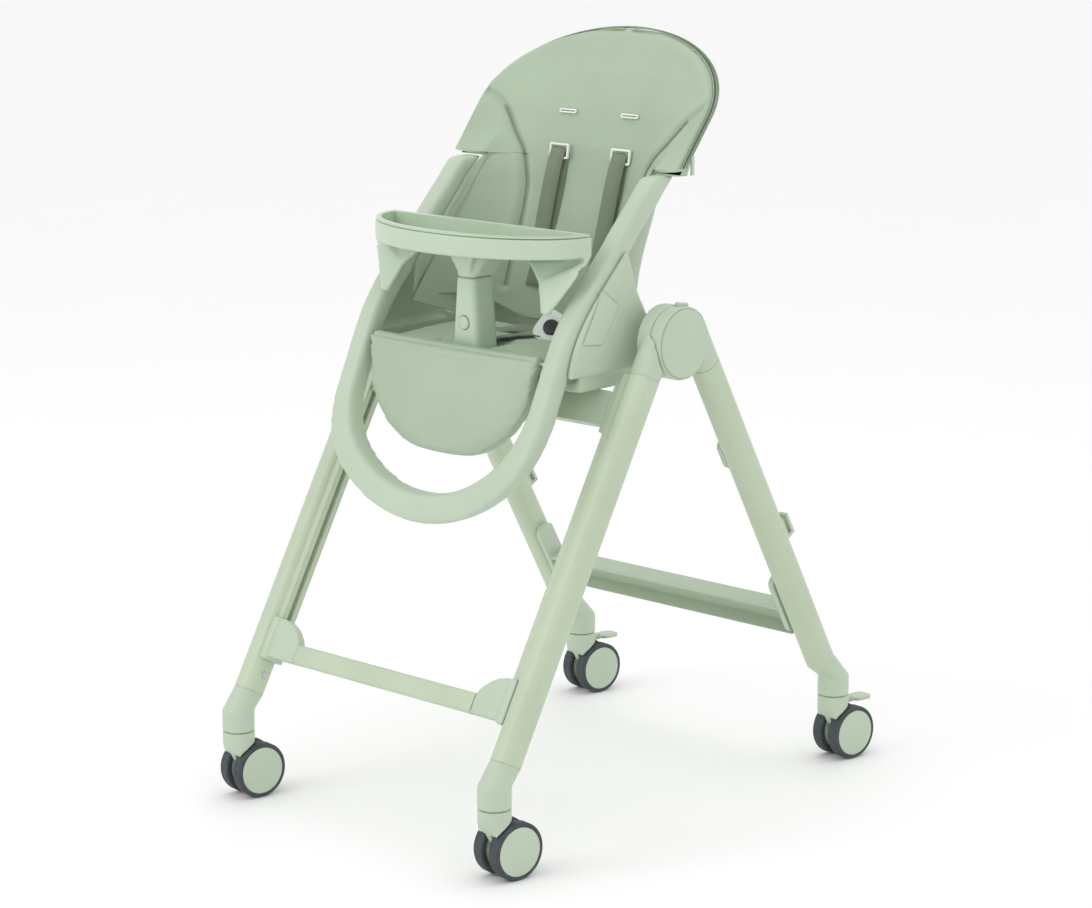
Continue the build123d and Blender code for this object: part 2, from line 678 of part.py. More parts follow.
for end, foot_y in (("front", FRONT_FOOT_Y), ("rear", REAR_FOOT_Y)):
    for side, x in (("left", -HALF_TRACK), ("right", HALF_TRACK)):
        corner = caster_plane(x, foot_y)
        write(caster_body(corner, end == "rear"), f"caster_body_{end}_{side}")
        write(wheel_hubs(corner), f"wheel_hubs_{end}_{side}")
        write_group(tyres(corner), f"tyres_{end}_{side}")
        if end == "rear":
            write(brake_lever(corner), f"brake_lever_{side}")

# ==== Seat carriage =========================================================================

beam_back = FRONT_OFFSET - BEAM_THICK / 2
with BuildPart() as carriage_beam:
    with BuildSketch(FRONT_FACE.offset(beam_back)):
        with Locations((0, -BEAM_DROP)):
            RectangleRounded(2 * BEAM_HALF, BEAM_TALL, BEAM_THICK / 4)
    extrude(amount=BEAM_THICK)
    riser_foot = -BEAM_DROP - BEAM_TALL / 2 + BEAM_THICK
    riser = [on_front(-beam_back, riser_foot), on_front(-beam_back - BEAM_THICK, riser_foot)]
    riser += [(riser[1][0], PAN_BOTTOM), (riser[1][0] + 3 * BEAM_THICK, PAN_BOTTOM)]
    for middle in (-RISER_X, RISER_X):
        add(side_block(riser, middle - RISER_WIDE / 2, middle + RISER_WIDE / 2))
write(carriage_beam.part, "carriage_beam")

with BuildPart() as slider_shoe:
    shoe_face = RAIL_FACE - SHOE_GAP
    with BuildSketch(FRONT_LEG.offset(-BEAM_DROP - SHOE_LONG / 2)):
        with Locations((BEAM_HALF, -FRONT_OFFSET)):
            Rectangle(shoe_face - BEAM_HALF, BEAM_THICK, align=(Align.MIN, Align.CENTER))
        with Locations((shoe_face, -FRONT_OFFSET)):
            Rectangle(SLOT_DEEP, SLOT_WIDE - 2 * SHOE_GAP, align=(Align.MIN, Align.CENTER))
    extrude(amount=SHOE_LONG)
write_both(slider_shoe.part, "slider_shoes")

# ==== Hoop ==================================================================================


def hoop_outline(half, bottom, sweep_r, turn_x):
    """A closed U with a wide bottom arc, two tighter corner arcs and straight arms."""
    turn = asin(turn_x / sweep_r)
    corner_r = (half - turn_x) / (1 - sin(turn))
    middle = (half - corner_r, bottom + sweep_r - (sweep_r - corner_r) * cos(turn))
    joint = (turn_x, bottom + sweep_r * (1 - cos(turn)))
    halfway = (turn + pi / 2) / 2
    bulge = (middle[0] + corner_r * sin(halfway), middle[1] - corner_r * cos(halfway))
    top = HOOP_SIDE[-1][1]
    ThreePointArc((-joint[0], joint[1]), (0, bottom), joint)
    ThreePointArc(joint, bulge, (half, middle[1]))
    Polyline((half, middle[1]), (half, top), (-half, top), (-half, middle[1]))
    ThreePointArc((-half, middle[1]), (-bulge[0], bulge[1]), (-joint[0], joint[1]))


hoop_reach = 400.0
with BuildPart() as seat_hoop:
    with BuildSketch(cross_plane(-HOOP_HALF)):
        with BuildLine():
            Spline(*HOOP_SIDE)
        trace(line_width=HOOP_DEEP)
    extrude(amount=2 * HOOP_HALF)
    with BuildSketch(front_plane(HOOP_SIDE[-1][0] + HOOP_DEEP)):
        with BuildLine():
            hoop_outline(HOOP_HALF, HOOP_BOTTOM, HOOP_SWEEP_R, HOOP_TURN_X)
        make_face()
        with BuildLine():
            hoop_outline(HOOP_HALF - HOOP_WIDE, HOOP_BOTTOM + HOOP_FOOT_WIDE,
                         HOOP_SWEEP_R - HOOP_FOOT_WIDE, HOOP_INNER_TURN_X)
        make_face(mode=Mode.SUBTRACT)
    extrude(amount=hoop_reach, mode=Mode.INTERSECT)
    add(drum(-HOOP_HALF, HOOP_HALF, 2 * ARM_R, RECLINE_Y, RECLINE_Z)
        - drum(-HOOP_HALF, HOOP_HALF, ARM_R, RECLINE_Y, RECLINE_Z)
        - block((-HOOP_HALF, HOOP_HALF), (-2 * ARM_R, 2 * ARM_R), (0, RECLINE_Z + ARM_R / 2)),
        mode=Mode.SUBTRACT)
    pin_end = CALF_HALF + 2 * HOOP_WIDE / 3
    for low in (-pin_end, CALF_HALF):
        add(drum(low, low + pin_end - CALF_HALF, LEGREST_PIN_R + RUNNING, LEGREST_Y, LEGREST_Z),
            mode=Mode.SUBTRACT)
write(seat_hoop.part, "seat_hoop")

# ==== Seat tub ==============================================================================

pan_top = PAN_BOTTOM + PAN_THICK
with BuildPart() as hip:
    with BuildSketch(cross_plane(HOOP_HALF)):
        with BuildLine():
            Spline((-192, 628), (-171, 684), (-112, 753), (-78, 788))
            Spline((-78, 788), (-70, 768), (-62, 742), (-42, 705), (-18, 660), (-8, 628))
            Line((-8, 628), (-192, 628))
        make_face()
    extrude(amount=HIP_THICK)
    with BuildSketch(cross_plane(HIP_FACE - TRIGGER_DEEP - TRIGGER_TRAVEL / 2)):
        with BuildLine():
            Polyline(*TRIGGER_OUTLINE, close=True)
        make_face()
        offset(amount=FACE_GAP)
    extrude(amount=HIP_THICK, mode=Mode.SUBTRACT)

with BuildPart() as seat_shell:
    add(block((-HOOP_HALF, HOOP_HALF), (PAN_FRONT, PAN_BACK), (PAN_BOTTOM, PAN_RIM), PAN_ROUND))
    add(block((PAN_WALL - HOOP_HALF, HOOP_HALF - PAN_WALL), (PAN_FRONT - 1, PAN_BACK + 1),
              (pan_top, PAN_RIM)), mode=Mode.SUBTRACT)
    add(block((-PAN_TONGUE_HALF, PAN_TONGUE_HALF), (PAN_TONGUE, PAN_FRONT + 2 * PAN_ROUND),
              (PAN_BOTTOM, pan_top)))
    ear = block((HOOP_HALF - PAN_WALL, HOOP_HALF), (PAN_BACK - 2 * PAN_ROUND, EAR_BACK),
                (PAN_BOTTOM + PAN_THICK, PAN_RIM + 6))
    for piece in (ear, hip.part):
        add(piece)
        add(mirrored(piece))
    add(drum(-HOOP_HALF, HOOP_HALF, RECLINE_PIN_R + RUNNING, RECLINE_Y, RECLINE_Z), mode=Mode.SUBTRACT)
write(seat_shell.part, "seat_shell")

with BuildPart() as height_trigger:
    with BuildSketch(cross_plane(HIP_FACE - TRIGGER_DEEP + TRIGGER_TRAVEL)):
        with BuildLine():
            Polyline(*TRIGGER_OUTLINE, close=True)
        make_face()
    extrude(amount=TRIGGER_THICK)
write_pair(height_trigger.part, "height_trigger")

# ==== Post and seat pad =====================================================================


def post_section(z, wide, deep=POST_DEEP):
    with BuildSketch(Plane.XY.offset(z)) as section:
        with Locations((0, POST_Y)):
            RectangleRounded(wide, deep, POST_ROUND)
    return section.sketch


post_front = POST_Y - POST_DEEP / 2
with BuildPart() as crotch_post:
    loft([post_section(pan_top, POST_FOOT_WIDE), post_section(POST_SEAM_Z, POST_HEAD_WIDE)])
    add(block((-TENON_WIDE / 2, TENON_WIDE / 2), (POST_Y - TENON_DEEP / 2, POST_Y + TENON_DEEP / 2),
              (POST_SEAM_Z, POST_SEAM_Z + TENON_TALL)))
    with BuildSketch(front_plane(post_front + POST_BUTTON_TRAVEL * 3)):
        with Locations((0, POST_BUTTON_Z)):
            Circle(POST_BUTTON_R + FACE_GAP)
    extrude(amount=POST_DEEP, mode=Mode.SUBTRACT)
write(crotch_post.part, "crotch_post")

with BuildPart() as post_button:
    with BuildSketch(front_plane(post_front + POST_BUTTON_TRAVEL * 2 - FACE_GAP)):
        with Locations((0, POST_BUTTON_Z)):
            Circle(POST_BUTTON_R)
    extrude(amount=POST_BUTTON_TRAVEL * 2.5)
write(post_button.part, "post_button")

with BuildPart() as seat_pad:
    add(block((-SEAT_PAD_HALF, SEAT_PAD_HALF), (SEAT_PAD_FRONT, SEAT_PAD_BACK),
              (pan_top, SEAT_PAD_TOP), PAN_ROUND))
    slot_half = POST_FOOT_WIDE / 2 + FACE_GAP
    add(block((-slot_half, slot_half), (SEAT_PAD_FRONT - 1, POST_Y + POST_DEEP / 2 + FACE_GAP),
              (pan_top, SEAT_PAD_TOP)), mode=Mode.SUBTRACT)
write(seat_pad.part, "seat_pad")

# ==== Backrest ==============================================================================


def bucket(half, inset, reach=0.0):
    """The bucket between its front edge and its rear wall, made smaller all round by inset."""
    steps = 12
    with BuildPart() as made:
        for z, front, rear in BACK_SECTIONS:
            wide = half - inset
            deep = rear - inset - front
            curve = []
            for step in range(steps + 1):
                turn = pi * step / steps
                across = abs(cos(turn)) ** (2 / BUCKET_POWER) * (1 if turn < pi / 2 else -1)
                back = abs(sin(turn)) ** (2 / BUCKET_POWER)
                curve.append((wide * across, front + deep * back))
            with BuildSketch(Plane.XY.offset(z)):
                with BuildLine():
                    Spline(*curve)
                    Polyline(curve[-1], (-wide, front - reach - 0.1), (wide, front - reach - 0.1),
                             curve[0])
                make_face()
        loft()
    return made.part


def head_block(inset):
    """Everything inside the backrest's outline seen from the front."""
    wide = HEAD_HALF - inset
    with BuildPart() as made:
        with BuildSketch(front_plane(ARM_R)):
            with Locations((0, HEAD_CENTRE_Z)):
                Ellipse(wide, HEAD_RISE - inset)
                Rectangle(2 * wide, 2 * ARM_R, align=(Align.CENTER, Align.MAX))
        extrude(amount=2.5 * ARM_R)
    return made.part


def backrest_solid(inset, reach=0.0):
    """A narrow bucket between the arms that widens into the head above the split radius."""
    clear = drum(-HEAD_HALF, HEAD_HALF, SPLIT_R + inset, RECLINE_Y, RECLINE_Z)
    wide = bucket(HEAD_HALF, inset, reach) - clear
    return (bucket(BUCKET_HALF, inset, reach) + wide) & head_block(inset)


BACK_BOTTOM = side_block(WING_BOTTOM, -HEAD_HALF, HEAD_HALF)
shell_solid = backrest_solid(0.0)
shell_cavity = backrest_solid(SHELL_THICK, ARM_R)
pad_cavity = backrest_solid(SHELL_THICK + PAD_THICK, ARM_R)

boss_end = HOOP_HALF - PAN_WALL - EAR_GAP
with BuildPart() as back_shell:
    add(shell_solid - BACK_BOTTOM)
    add(drum(BUCKET_HALF / 2, boss_end, BOSS_R, RECLINE_Y, RECLINE_Z))
    add(drum(-boss_end, -BUCKET_HALF / 2, BOSS_R, RECLINE_Y, RECLINE_Z))
    add(block((-HOUSING_WIDE / 2, HOUSING_WIDE / 2), (HOUSING_BACK - 50, HOUSING_BACK),
              (HOUSING_Z, HOUSING_Z + HOUSING_TALL)))
    add(shell_cavity, mode=Mode.SUBTRACT)
    add(drum(-HOOP_HALF, HOOP_HALF, RECLINE_PIN_R, RECLINE_Y, RECLINE_Z), mode=Mode.SUBTRACT)
    recess_half = HANDLE_WIDE / 2 + HANDLE_GAP
    add(block((-recess_half, recess_half), (HOUSING_BACK - 14, HOUSING_BACK + 5),
              (HOUSING_Z + 10, HOUSING_Z + HOUSING_TALL - 8)), mode=Mode.SUBTRACT)
write(back_shell.part, "back_shell")

with BuildPart() as back_pad:
    add((shell_cavity & shell_solid) - BACK_BOTTOM)
    add(pad_cavity, mode=Mode.SUBTRACT)
write(back_pad.part, "back_pad")

with BuildPart() as recline_handle:
    handle_z = HOUSING_Z + 10 + HANDLE_GAP
    add(block((-HANDLE_WIDE / 2, HANDLE_WIDE / 2), (HOUSING_BACK - 14 + HANDLE_GAP, HOUSING_BACK + 6),
              (handle_z, handle_z + HANDLE_TALL)))
    fillet(recline_handle.faces().sort_by(Axis.Y)[-1].edges(), 3)
write(recline_handle.part, "recline_handle")

pin_start = BUCKET_HALF * 0.86
write_both(drum(pin_start, HOOP_HALF - 1, RECLINE_PIN_R, RECLINE_Y, RECLINE_Z), "recline_pins")

with BuildPart() as zip_pull:
    add(block((HEAD_HALF + 1.5, HEAD_HALF + 1.5 + ZIP_THICK), (ZIP_Y - ZIP_WIDE / 2, ZIP_Y + ZIP_WIDE / 2),
              (ZIP_Z - ZIP_LONG, ZIP_Z)))
write(zip_pull.part, "zip_pull")

# ==== Harness ===============================================================================


def pad_face_y(z):
    """Y of the back pad's front face near the middle at height z."""
    for (z_low, _, low), (z_high, _, high) in zip(BACK_SECTIONS, BACK_SECTIONS[1:]):
        if z <= z_high:
            return low + (high - low) * (z - z_low) / (z_high - z_low) - SHELL_THICK - PAD_THICK
    raise ValueError(z)


def face_frame(z, ahead):
    """A forward-facing plane ahead of the pad's face at height z, leaning with the pad."""
    lean = (pad_face_y(z + 10) - pad_face_y(z - 10)) / 20
    return Plane(origin=(0, pad_face_y(z) - ahead, z), x_dir=(1, 0, 0), z_dir=(0, -1, lean))


with BuildPart() as strap_ring:
    with BuildSketch(face_frame(RING_Z, 3.0)):
        with Locations((HARNESS_X, 0)):
            SlotOverall(RING_LONG, RING_TALL)
            SlotOverall(RING_LONG - 4, RING_TALL - 4, mode=Mode.SUBTRACT)
    extrude(amount=2)
write_both(strap_ring.part, "strap_rings")

with BuildPart() as strap_adjuster:
    with BuildSketch(face_frame(ADJUSTER_Z, 6.0)):
        with Locations((HARNESS_X, 0)):
            RectangleRounded(ADJUSTER_WIDE, ADJUSTER_TALL, ADJUSTER_BAR)
            Rectangle(ADJUSTER_WIDE - 2 * ADJUSTER_BAR, ADJUSTER_TALL - 2 * ADJUSTER_BAR,
                      mode=Mode.SUBTRACT)
    extrude(amount=3)
write_both(strap_adjuster.part, "strap_adjusters")

strap_top = ADJUSTER_Z - ADJUSTER_TALL / 2 - 1
strap_low = BACK_SECTIONS[1][0] + 10
strap_outline = [(pad_face_y(strap_top) - 11, strap_top), (pad_face_y(strap_low) - 11, strap_low)]
strap_outline += [(y - STRAP_THICK, z) for y, z in reversed(strap_outline)]
write_both(side_block(strap_outline, HARNESS_X - STRAP_WIDE / 2, HARNESS_X + STRAP_WIDE / 2),
           "shoulder_straps")

buckle_foot = SEAT_PAD_TOP + STRAP_THICK + FACE_GAP
buckle_top = buckle_foot + BUCKLE_THICK
with BuildPart() as harness_buckle:
    add(block((BUCKLE_X - BUCKLE_WIDE / 2, BUCKLE_X + BUCKLE_WIDE / 2),
              (BUCKLE_Y - BUCKLE_LONG / 2, BUCKLE_Y + BUCKLE_LONG / 2), (buckle_foot, buckle_top), 8))
    fillet(harness_buckle.faces().sort_by(Axis.Z)[-1].edges(), 3)
    with BuildSketch(Plane.XY.offset(buckle_top - 3 * BUCKLE_TRAVEL)):
        with Locations((BUCKLE_X, BUCKLE_Y)):
            Circle(BUCKLE_BUTTON_R + FACE_GAP)
    extrude(amount=4 * BUCKLE_TRAVEL, mode=Mode.SUBTRACT)
write(harness_buckle.part, "harness_buckle")

with BuildPart() as buckle_button:
    with BuildSketch(Plane.XY.offset(buckle_top - 2 * BUCKLE_TRAVEL + FACE_GAP)):
        with Locations((BUCKLE_X, BUCKLE_Y)):
            Circle(BUCKLE_BUTTON_R)
    extrude(amount=2 * BUCKLE_TRAVEL)
write(buckle_button.part, "buckle_button")

strap_z = (SEAT_PAD_TOP, SEAT_PAD_TOP + STRAP_THICK)
post_back = POST_Y + POST_DEEP / 2 + 1
write(block((-STRAP_WIDE / 2, BUCKLE_X + BUCKLE_WIDE / 4), (post_back, post_back + STRAP_WIDE), strap_z),
      "crotch_strap")
waist_y = (post_back + STRAP_WIDE + 4, post_back + 2 * STRAP_WIDE + 4)
write_group([block((-SEAT_PAD_HALF + 30, -HARNESS_X / 2), waist_y, strap_z),
             block((HARNESS_X / 2, SEAT_PAD_HALF - 30), waist_y, strap_z)], "waist_straps")

# ==== Leg rest ==============================================================================

# Local X is the chair's X, local Y runs up the leg rest, local Z points forward from it.
CALF_FACE = Plane(origin=(0, LEGREST_Y, LEGREST_Z), x_dir=(1, 0, 0),
                  z_dir=(0, -cos(radians(CALF_LEAN)), sin(radians(CALF_LEAN))))


def calf_shield(face, thick, inset=0.0):
    """The shield outline: straight sides down from the hinge, then a wide round bottom."""
    half = CALF_HALF - inset
    long = CALF_LONG - inset
    with BuildPart() as made:
        with BuildSketch(face):
            with BuildLine():
                Polyline((-half * 0.95, -CALF_TURN), (-half, 0), (half, 0), (half * 0.95, -CALF_TURN))
                ThreePointArc((half * 0.95, -CALF_TURN), (half * 0.66, -long * 0.82),
                              (half * 0.3, -long * 0.985))
                ThreePointArc((half * 0.3, -long * 0.985), (0, -long), (-half * 0.3, -long * 0.985))
                ThreePointArc((-half * 0.3, -long * 0.985), (-half * 0.66, -long * 0.82),
                              (-half * 0.95, -CALF_TURN))
            make_face()
        extrude(amount=thick)
    return made.part


calf_back = LEGREST_ROLL_R - CALF_THICK
with BuildPart() as calf_pad:
    add(calf_shield(CALF_FACE.offset(calf_back), CALF_THICK))
    add(drum(-CALF_HALF, CALF_HALF, LEGREST_ROLL_R, LEGREST_Y, LEGREST_Z))
    add(drum(-CALF_HALF, CALF_HALF, LEGREST_PIN_R, LEGREST_Y, LEGREST_Z), mode=Mode.SUBTRACT)
write(calf_pad.part, "calf_pad")

write(calf_shield(CALF_FACE.offset(calf_back - PANEL_THICK), PANEL_THICK, PANEL_INSET)
      - drum(-CALF_HALF, CALF_HALF, LEGREST_ROLL_R, LEGREST_Y, LEGREST_Z), "legrest_panel")
write_both(drum(CALF_HALF * 0.8, pin_end - 1, LEGREST_PIN_R, LEGREST_Y, LEGREST_Z), "legrest_pins")

# ==== Tray ==================================================================================


def tray_plan(z_low, z_high, inset=0.0):
    """The tray's D outline: a straight rear edge and an elliptical front."""
    with BuildPart() as made:
        with BuildSketch(Plane.XY.offset(z_low)):
            with Locations((0, TRAY_BACK_Y - inset)):
                Ellipse(TRAY_HALF - inset, TRAY_REACH - 2 * inset)
                Rectangle(2 * TRAY_HALF, TRAY_REACH, align=(Align.CENTER, Align.MIN),
                          mode=Mode.SUBTRACT)
        extrude(amount=z_high - z_low)
    return made.part


# Local Y points up in the plane of the fins, local Z forward from it.
FIN_FACE = Plane(origin=(0, TRAY_BACK_Y - FIN_THICK / 2, TRAY_Z), x_dir=(1, 0, 0),
                 z_dir=(0, -cos(radians(FIN_LEAN)), sin(radians(FIN_LEAN))))
tray_top = TRAY_Z + TRAY_RIM
tray_floor = TRAY_Z + TRAY_FLOOR
with BuildPart() as tray_fin:
    with BuildSketch(FIN_FACE):
        with BuildLine():
            Polyline(*FIN_OUTLINE, close=True)
        make_face()
    extrude(amount=FIN_THICK)
    add(block((0, TRACK), (-TRACK, TRACK), (tray_floor, tray_top + TRACK)), mode=Mode.SUBTRACT)

stub_foot = POST_SEAM_Z + FACE_GAP
with BuildPart() as tray_body:
    add(tray_plan(TRAY_Z, tray_top))
    add(tray_plan(tray_floor, tray_top, TRAY_WALL), mode=Mode.SUBTRACT)
    add(tray_fin.part)
    add(mirrored(tray_fin.part))
    loft([post_section(stub_foot, POST_HEAD_WIDE), post_section(TRAY_Z + 1, STUB_WIDE, STUB_DEEP)])
    add(block((-TENON_WIDE / 2 - FACE_GAP, TENON_WIDE / 2 + FACE_GAP),
              (POST_Y - TENON_DEEP / 2 - FACE_GAP, POST_Y + TENON_DEEP / 2 + FACE_GAP),
              (stub_foot, POST_SEAM_Z + TENON_TALL + FACE_GAP)), mode=Mode.SUBTRACT)
write(tray_body.part, "tray_body")

insert_low = tray_floor + FACE_GAP
with BuildPart() as tray_insert:
    add(tray_plan(insert_low, tray_top + FACE_GAP + INSERT_LIP, TRAY_WALL + INSERT_GAP))
    add(tray_plan(tray_top + FACE_GAP, tray_top + FACE_GAP + INSERT_LIP, TRAY_WALL / 4))
    add(tray_plan(insert_low + INSERT_WALL, tray_top + FACE_GAP + INSERT_LIP,
                  TRAY_WALL + INSERT_GAP + INSERT_WALL), mode=Mode.SUBTRACT)
write(tray_insert.part, "tray_insert")
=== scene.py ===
import json
import math

import bmesh
import bpy
import numpy as np
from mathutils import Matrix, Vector

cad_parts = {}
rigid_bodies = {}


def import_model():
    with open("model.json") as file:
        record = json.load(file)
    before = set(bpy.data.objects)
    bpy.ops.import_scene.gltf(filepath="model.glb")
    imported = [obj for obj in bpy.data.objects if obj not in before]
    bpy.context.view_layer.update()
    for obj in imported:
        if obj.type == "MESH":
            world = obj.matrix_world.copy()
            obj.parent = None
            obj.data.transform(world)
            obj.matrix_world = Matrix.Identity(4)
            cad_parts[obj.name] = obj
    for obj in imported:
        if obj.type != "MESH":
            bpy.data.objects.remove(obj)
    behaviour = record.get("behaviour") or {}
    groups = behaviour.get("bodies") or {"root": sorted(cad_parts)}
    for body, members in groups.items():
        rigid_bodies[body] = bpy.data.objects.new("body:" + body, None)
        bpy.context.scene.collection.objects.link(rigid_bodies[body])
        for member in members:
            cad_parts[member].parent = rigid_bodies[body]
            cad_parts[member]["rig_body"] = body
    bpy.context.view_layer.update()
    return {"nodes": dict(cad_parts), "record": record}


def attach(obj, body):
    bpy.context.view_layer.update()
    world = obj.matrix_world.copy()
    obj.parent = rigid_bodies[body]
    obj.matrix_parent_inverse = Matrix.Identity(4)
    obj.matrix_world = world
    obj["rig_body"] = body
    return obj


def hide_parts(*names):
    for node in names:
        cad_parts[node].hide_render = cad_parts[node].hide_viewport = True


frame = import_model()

nodes = frame["nodes"]
scene = bpy.context.scene
scene.view_settings.view_transform = "Standard"
SIDES = (("left", -1), ("right", 1))

# ==== Materials: every one is procedural, at real scale, in object coordinates (metres) =======


def linear(red, green, blue):
    """Display colour, 0 to 255, to linear light."""
    return tuple((c / 255) ** 2.2 for c in (red, green, blue)) + (1.0,)


class Shader:
    """A small helper that adds nodes to one material."""

    def __init__(self, name):
        self.material = bpy.data.materials.new(name)
        self.material.use_nodes = True
        self.tree = self.material.node_tree
        self.bsdf = self.tree.nodes["Principled BSDF"]
        self.place = self.add("ShaderNodeTexCoord").outputs["Object"]

    def add(self, kind, **values):
        node = self.tree.nodes.new(kind)
        for key, value in values.items():
            if key in node.inputs:
                node.inputs[key].default_value = value
            else:
                setattr(node, key, value)
        return node

    def link(self, source, target):
        self.tree.links.new(source, target)

    def noise(self, scale, detail=3.0, stretch=None):
        made = self.add("ShaderNodeTexNoise", Scale=scale, Detail=detail)
        place = self.place
        if stretch:
            mapping = self.add("ShaderNodeMapping")
            mapping.inputs["Scale"].default_value = stretch
            self.link(place, mapping.inputs["Vector"])
            place = mapping.outputs["Vector"]
        self.link(place, made.inputs["Vector"])
        return made.outputs["Fac"]

    def ramp(self, source, stops):
        made = self.add("ShaderNodeValToRGB")
        ramp = made.color_ramp
        while len(ramp.elements) < len(stops):
            ramp.elements.new(0.5)
        for element, (place, colour) in zip(ramp.elements, stops):
            element.position = place
            element.color = colour
        self.link(source, made.inputs["Fac"])
        return made.outputs["Color"]

    def spread(self, source, low, high):
        made = self.add("ShaderNodeMapRange")
        made.inputs["To Min"].default_value = low
        made.inputs["To Max"].default_value = high
        self.link(source, made.inputs["Value"])
        return made.outputs["Result"]

    def bump(self, source, depth, normal=None):
        """Depth in metres."""
        made = self.add("ShaderNodeBump", Strength=1.0, Distance=depth)
        self.link(source, made.inputs["Height"])
        if normal is not None:
            self.link(normal, made.inputs["Normal"])
        return made.outputs["Normal"]

    def soft_edge(self, radius):
        return self.add("ShaderNodeBevel", Radius=radius, samples=6).outputs["Normal"]


def shade(colour, factor):
    return tuple(min(1.0, c * factor) for c in colour[:3]) + (1.0,)


def moulded_plastic(name, colour, rough=0.42, edge=0.002, grain=0.00006):
    """Injection-moulded plastic: spark-eroded grain, faint flow marks and a painted highlight on
    its sharp convex edges.
    """
    s = Shader(name)
    clouds = s.noise(9.0, 4.0)
    body = s.ramp(clouds, ((0.3, shade(colour, 0.965)), (0.7, shade(colour, 1.03))))
    # Painted highlight: convex edges, found by pointiness, are mixed toward a lighter copy of the
    # colour.
    edge_pointiness = s.add("ShaderNodeNewGeometry").outputs["Pointiness"]
    edge_highlight_share = s.spread(edge_pointiness, 0.0, 1.0)
    edge_highlight_mix = s.add("ShaderNodeMix", data_type="RGBA")
    edges = s.ramp(edge_highlight_share, ((0.53, (0, 0, 0, 1)), (0.62, (0.35, 0.35, 0.35, 1))))
    s.link(edges, edge_highlight_mix.inputs[0])
    s.link(body, edge_highlight_mix.inputs[6])
    edge_highlight_mix.inputs[7].default_value = shade(colour, 1.12)
    s.link(edge_highlight_mix.outputs[2], s.bsdf.inputs["Base Color"])
    s.link(s.spread(s.noise(60.0, 5.0), rough - 0.05, rough + 0.06), s.bsdf.inputs["Roughness"])
    fine = s.bump(s.noise(2600.0, 2.0), grain, s.soft_edge(edge))
    s.link(s.bump(s.noise(25.0, 2.0), grain * 2, fine), s.bsdf.inputs["Normal"])
    s.bsdf.inputs["Specular IOR Level"].default_value = 0.45
    return s.material


def powder_coat(name, colour):
    """Powder-coated steel tube: orange-peel waviness and a satin sheen."""
    s = Shader(name)
    body = s.ramp(s.noise(14.0, 3.0), ((0.35, shade(colour, 0.97)), (0.65, shade(colour, 1.025))))
    s.link(body, s.bsdf.inputs["Base Color"])
    s.link(s.spread(s.noise(90.0, 4.0), 0.33, 0.44), s.bsdf.inputs["Roughness"])
    peel = s.bump(s.noise(520.0, 2.0), 0.00008, s.soft_edge(0.0012))
    s.link(s.bump(s.noise(3000.0, 1.0), 0.00003, peel), s.bsdf.inputs["Normal"])
    s.bsdf.inputs["Coat Weight"].default_value = 0.15
    s.bsdf.inputs["Coat Roughness"].default_value = 0.3
    return s.material


def leatherette(name, colour):
    """Coated soft fabric: pebbled grain, broad soft puckers and a satin surface."""
    s = Shader(name)
    body = s.ramp(s.noise(7.0, 4.0), ((0.3, shade(colour, 0.94)), (0.7, shade(colour, 1.04))))
    s.link(body, s.bsdf.inputs["Base Color"])
    pebble = s.add("ShaderNodeTexVoronoi", Scale=950.0, feature="SMOOTH_F1")
    s.link(s.place, pebble.inputs["Vector"])
    grain = s.bump(pebble.outputs["Distance"], 0.00022)
    crease = s.bump(s.noise(210.0, 5.0), 0.00018, grain)
    s.link(s.bump(s.noise(16.0, 2.0), 0.0016, crease), s.bsdf.inputs["Normal"])
    s.link(s.spread(s.noise(40.0, 4.0), 0.44, 0.58), s.bsdf.inputs["Roughness"])
    s.bsdf.inputs["Sheen Weight"].default_value = 0.12
    s.bsdf.inputs["Sheen Roughness"].default_value = 0.4
    s.bsdf.inputs["Specular IOR Level"].default_value = 0.4
    return s.material


def webbing(name, colour):
    """Woven webbing: a fine twill of ribs across and along the band."""
    s = Shader(name)
    across = s.add("ShaderNodeTexWave", Scale=420.0, bands_direction="X", Distortion=0.6)
    along = s.add("ShaderNodeTexWave", Scale=300.0, bands_direction="Z", Distortion=0.6)
    both = s.add("ShaderNodeMath", operation="MULTIPLY")
    for k, wave in enumerate((across, along)):
        s.link(s.place, wave.inputs["Vector"])
        s.link(wave.outputs["Fac"], both.inputs[k])
    body = s.ramp(both.outputs[0], ((0.0, shade(colour, 0.78)), (0.8, shade(colour, 1.08))))
    s.link(body, s.bsdf.inputs["Base Color"])
    s.link(s.bump(both.outputs[0], 0.0005), s.bsdf.inputs["Normal"])
    s.link(s.spread(s.noise(80.0, 3.0), 0.78, 0.92), s.bsdf.inputs["Roughness"])
    s.bsdf.inputs["Sheen Weight"].default_value = 0.25
    return s.material


def rubber(name, colour):
    """Soft tyre rubber: dusty, matt and finely pitted."""
    s = Shader(name)
    body = s.ramp(s.noise(70.0, 5.0), ((0.35, shade(colour, 0.85)), (0.7, shade(colour, 1.35))))
    s.link(body, s.bsdf.inputs["Base Color"])
    s.link(s.spread(s.noise(45.0, 4.0), 0.6, 0.78), s.bsdf.inputs["Roughness"])
    s.link(s.bump(s.noise(1500.0, 3.0), 0.0001, s.soft_edge(0.0015)), s.bsdf.inputs["Normal"])
    return s.material


def steel(name, colour):
    """Turned or drawn steel with fine running scratches."""
    s = Shader(name)
    grain = s.noise(60.0, 4.0, (40.0, 1.0, 40.0))
    s.link(s.ramp(grain, ((0.3, shade(colour, 0.8)), (0.7, colour))), s.bsdf.inputs["Base Color"])
    s.link(s.spread(grain, 0.24, 0.4), s.bsdf.inputs["Roughness"])
    s.link(s.bump(grain, 0.00004, s.soft_edge(0.0004)), s.bsdf.inputs["Normal"])
    s.bsdf.inputs["Metallic"].default_value = 1.0
    return s.material


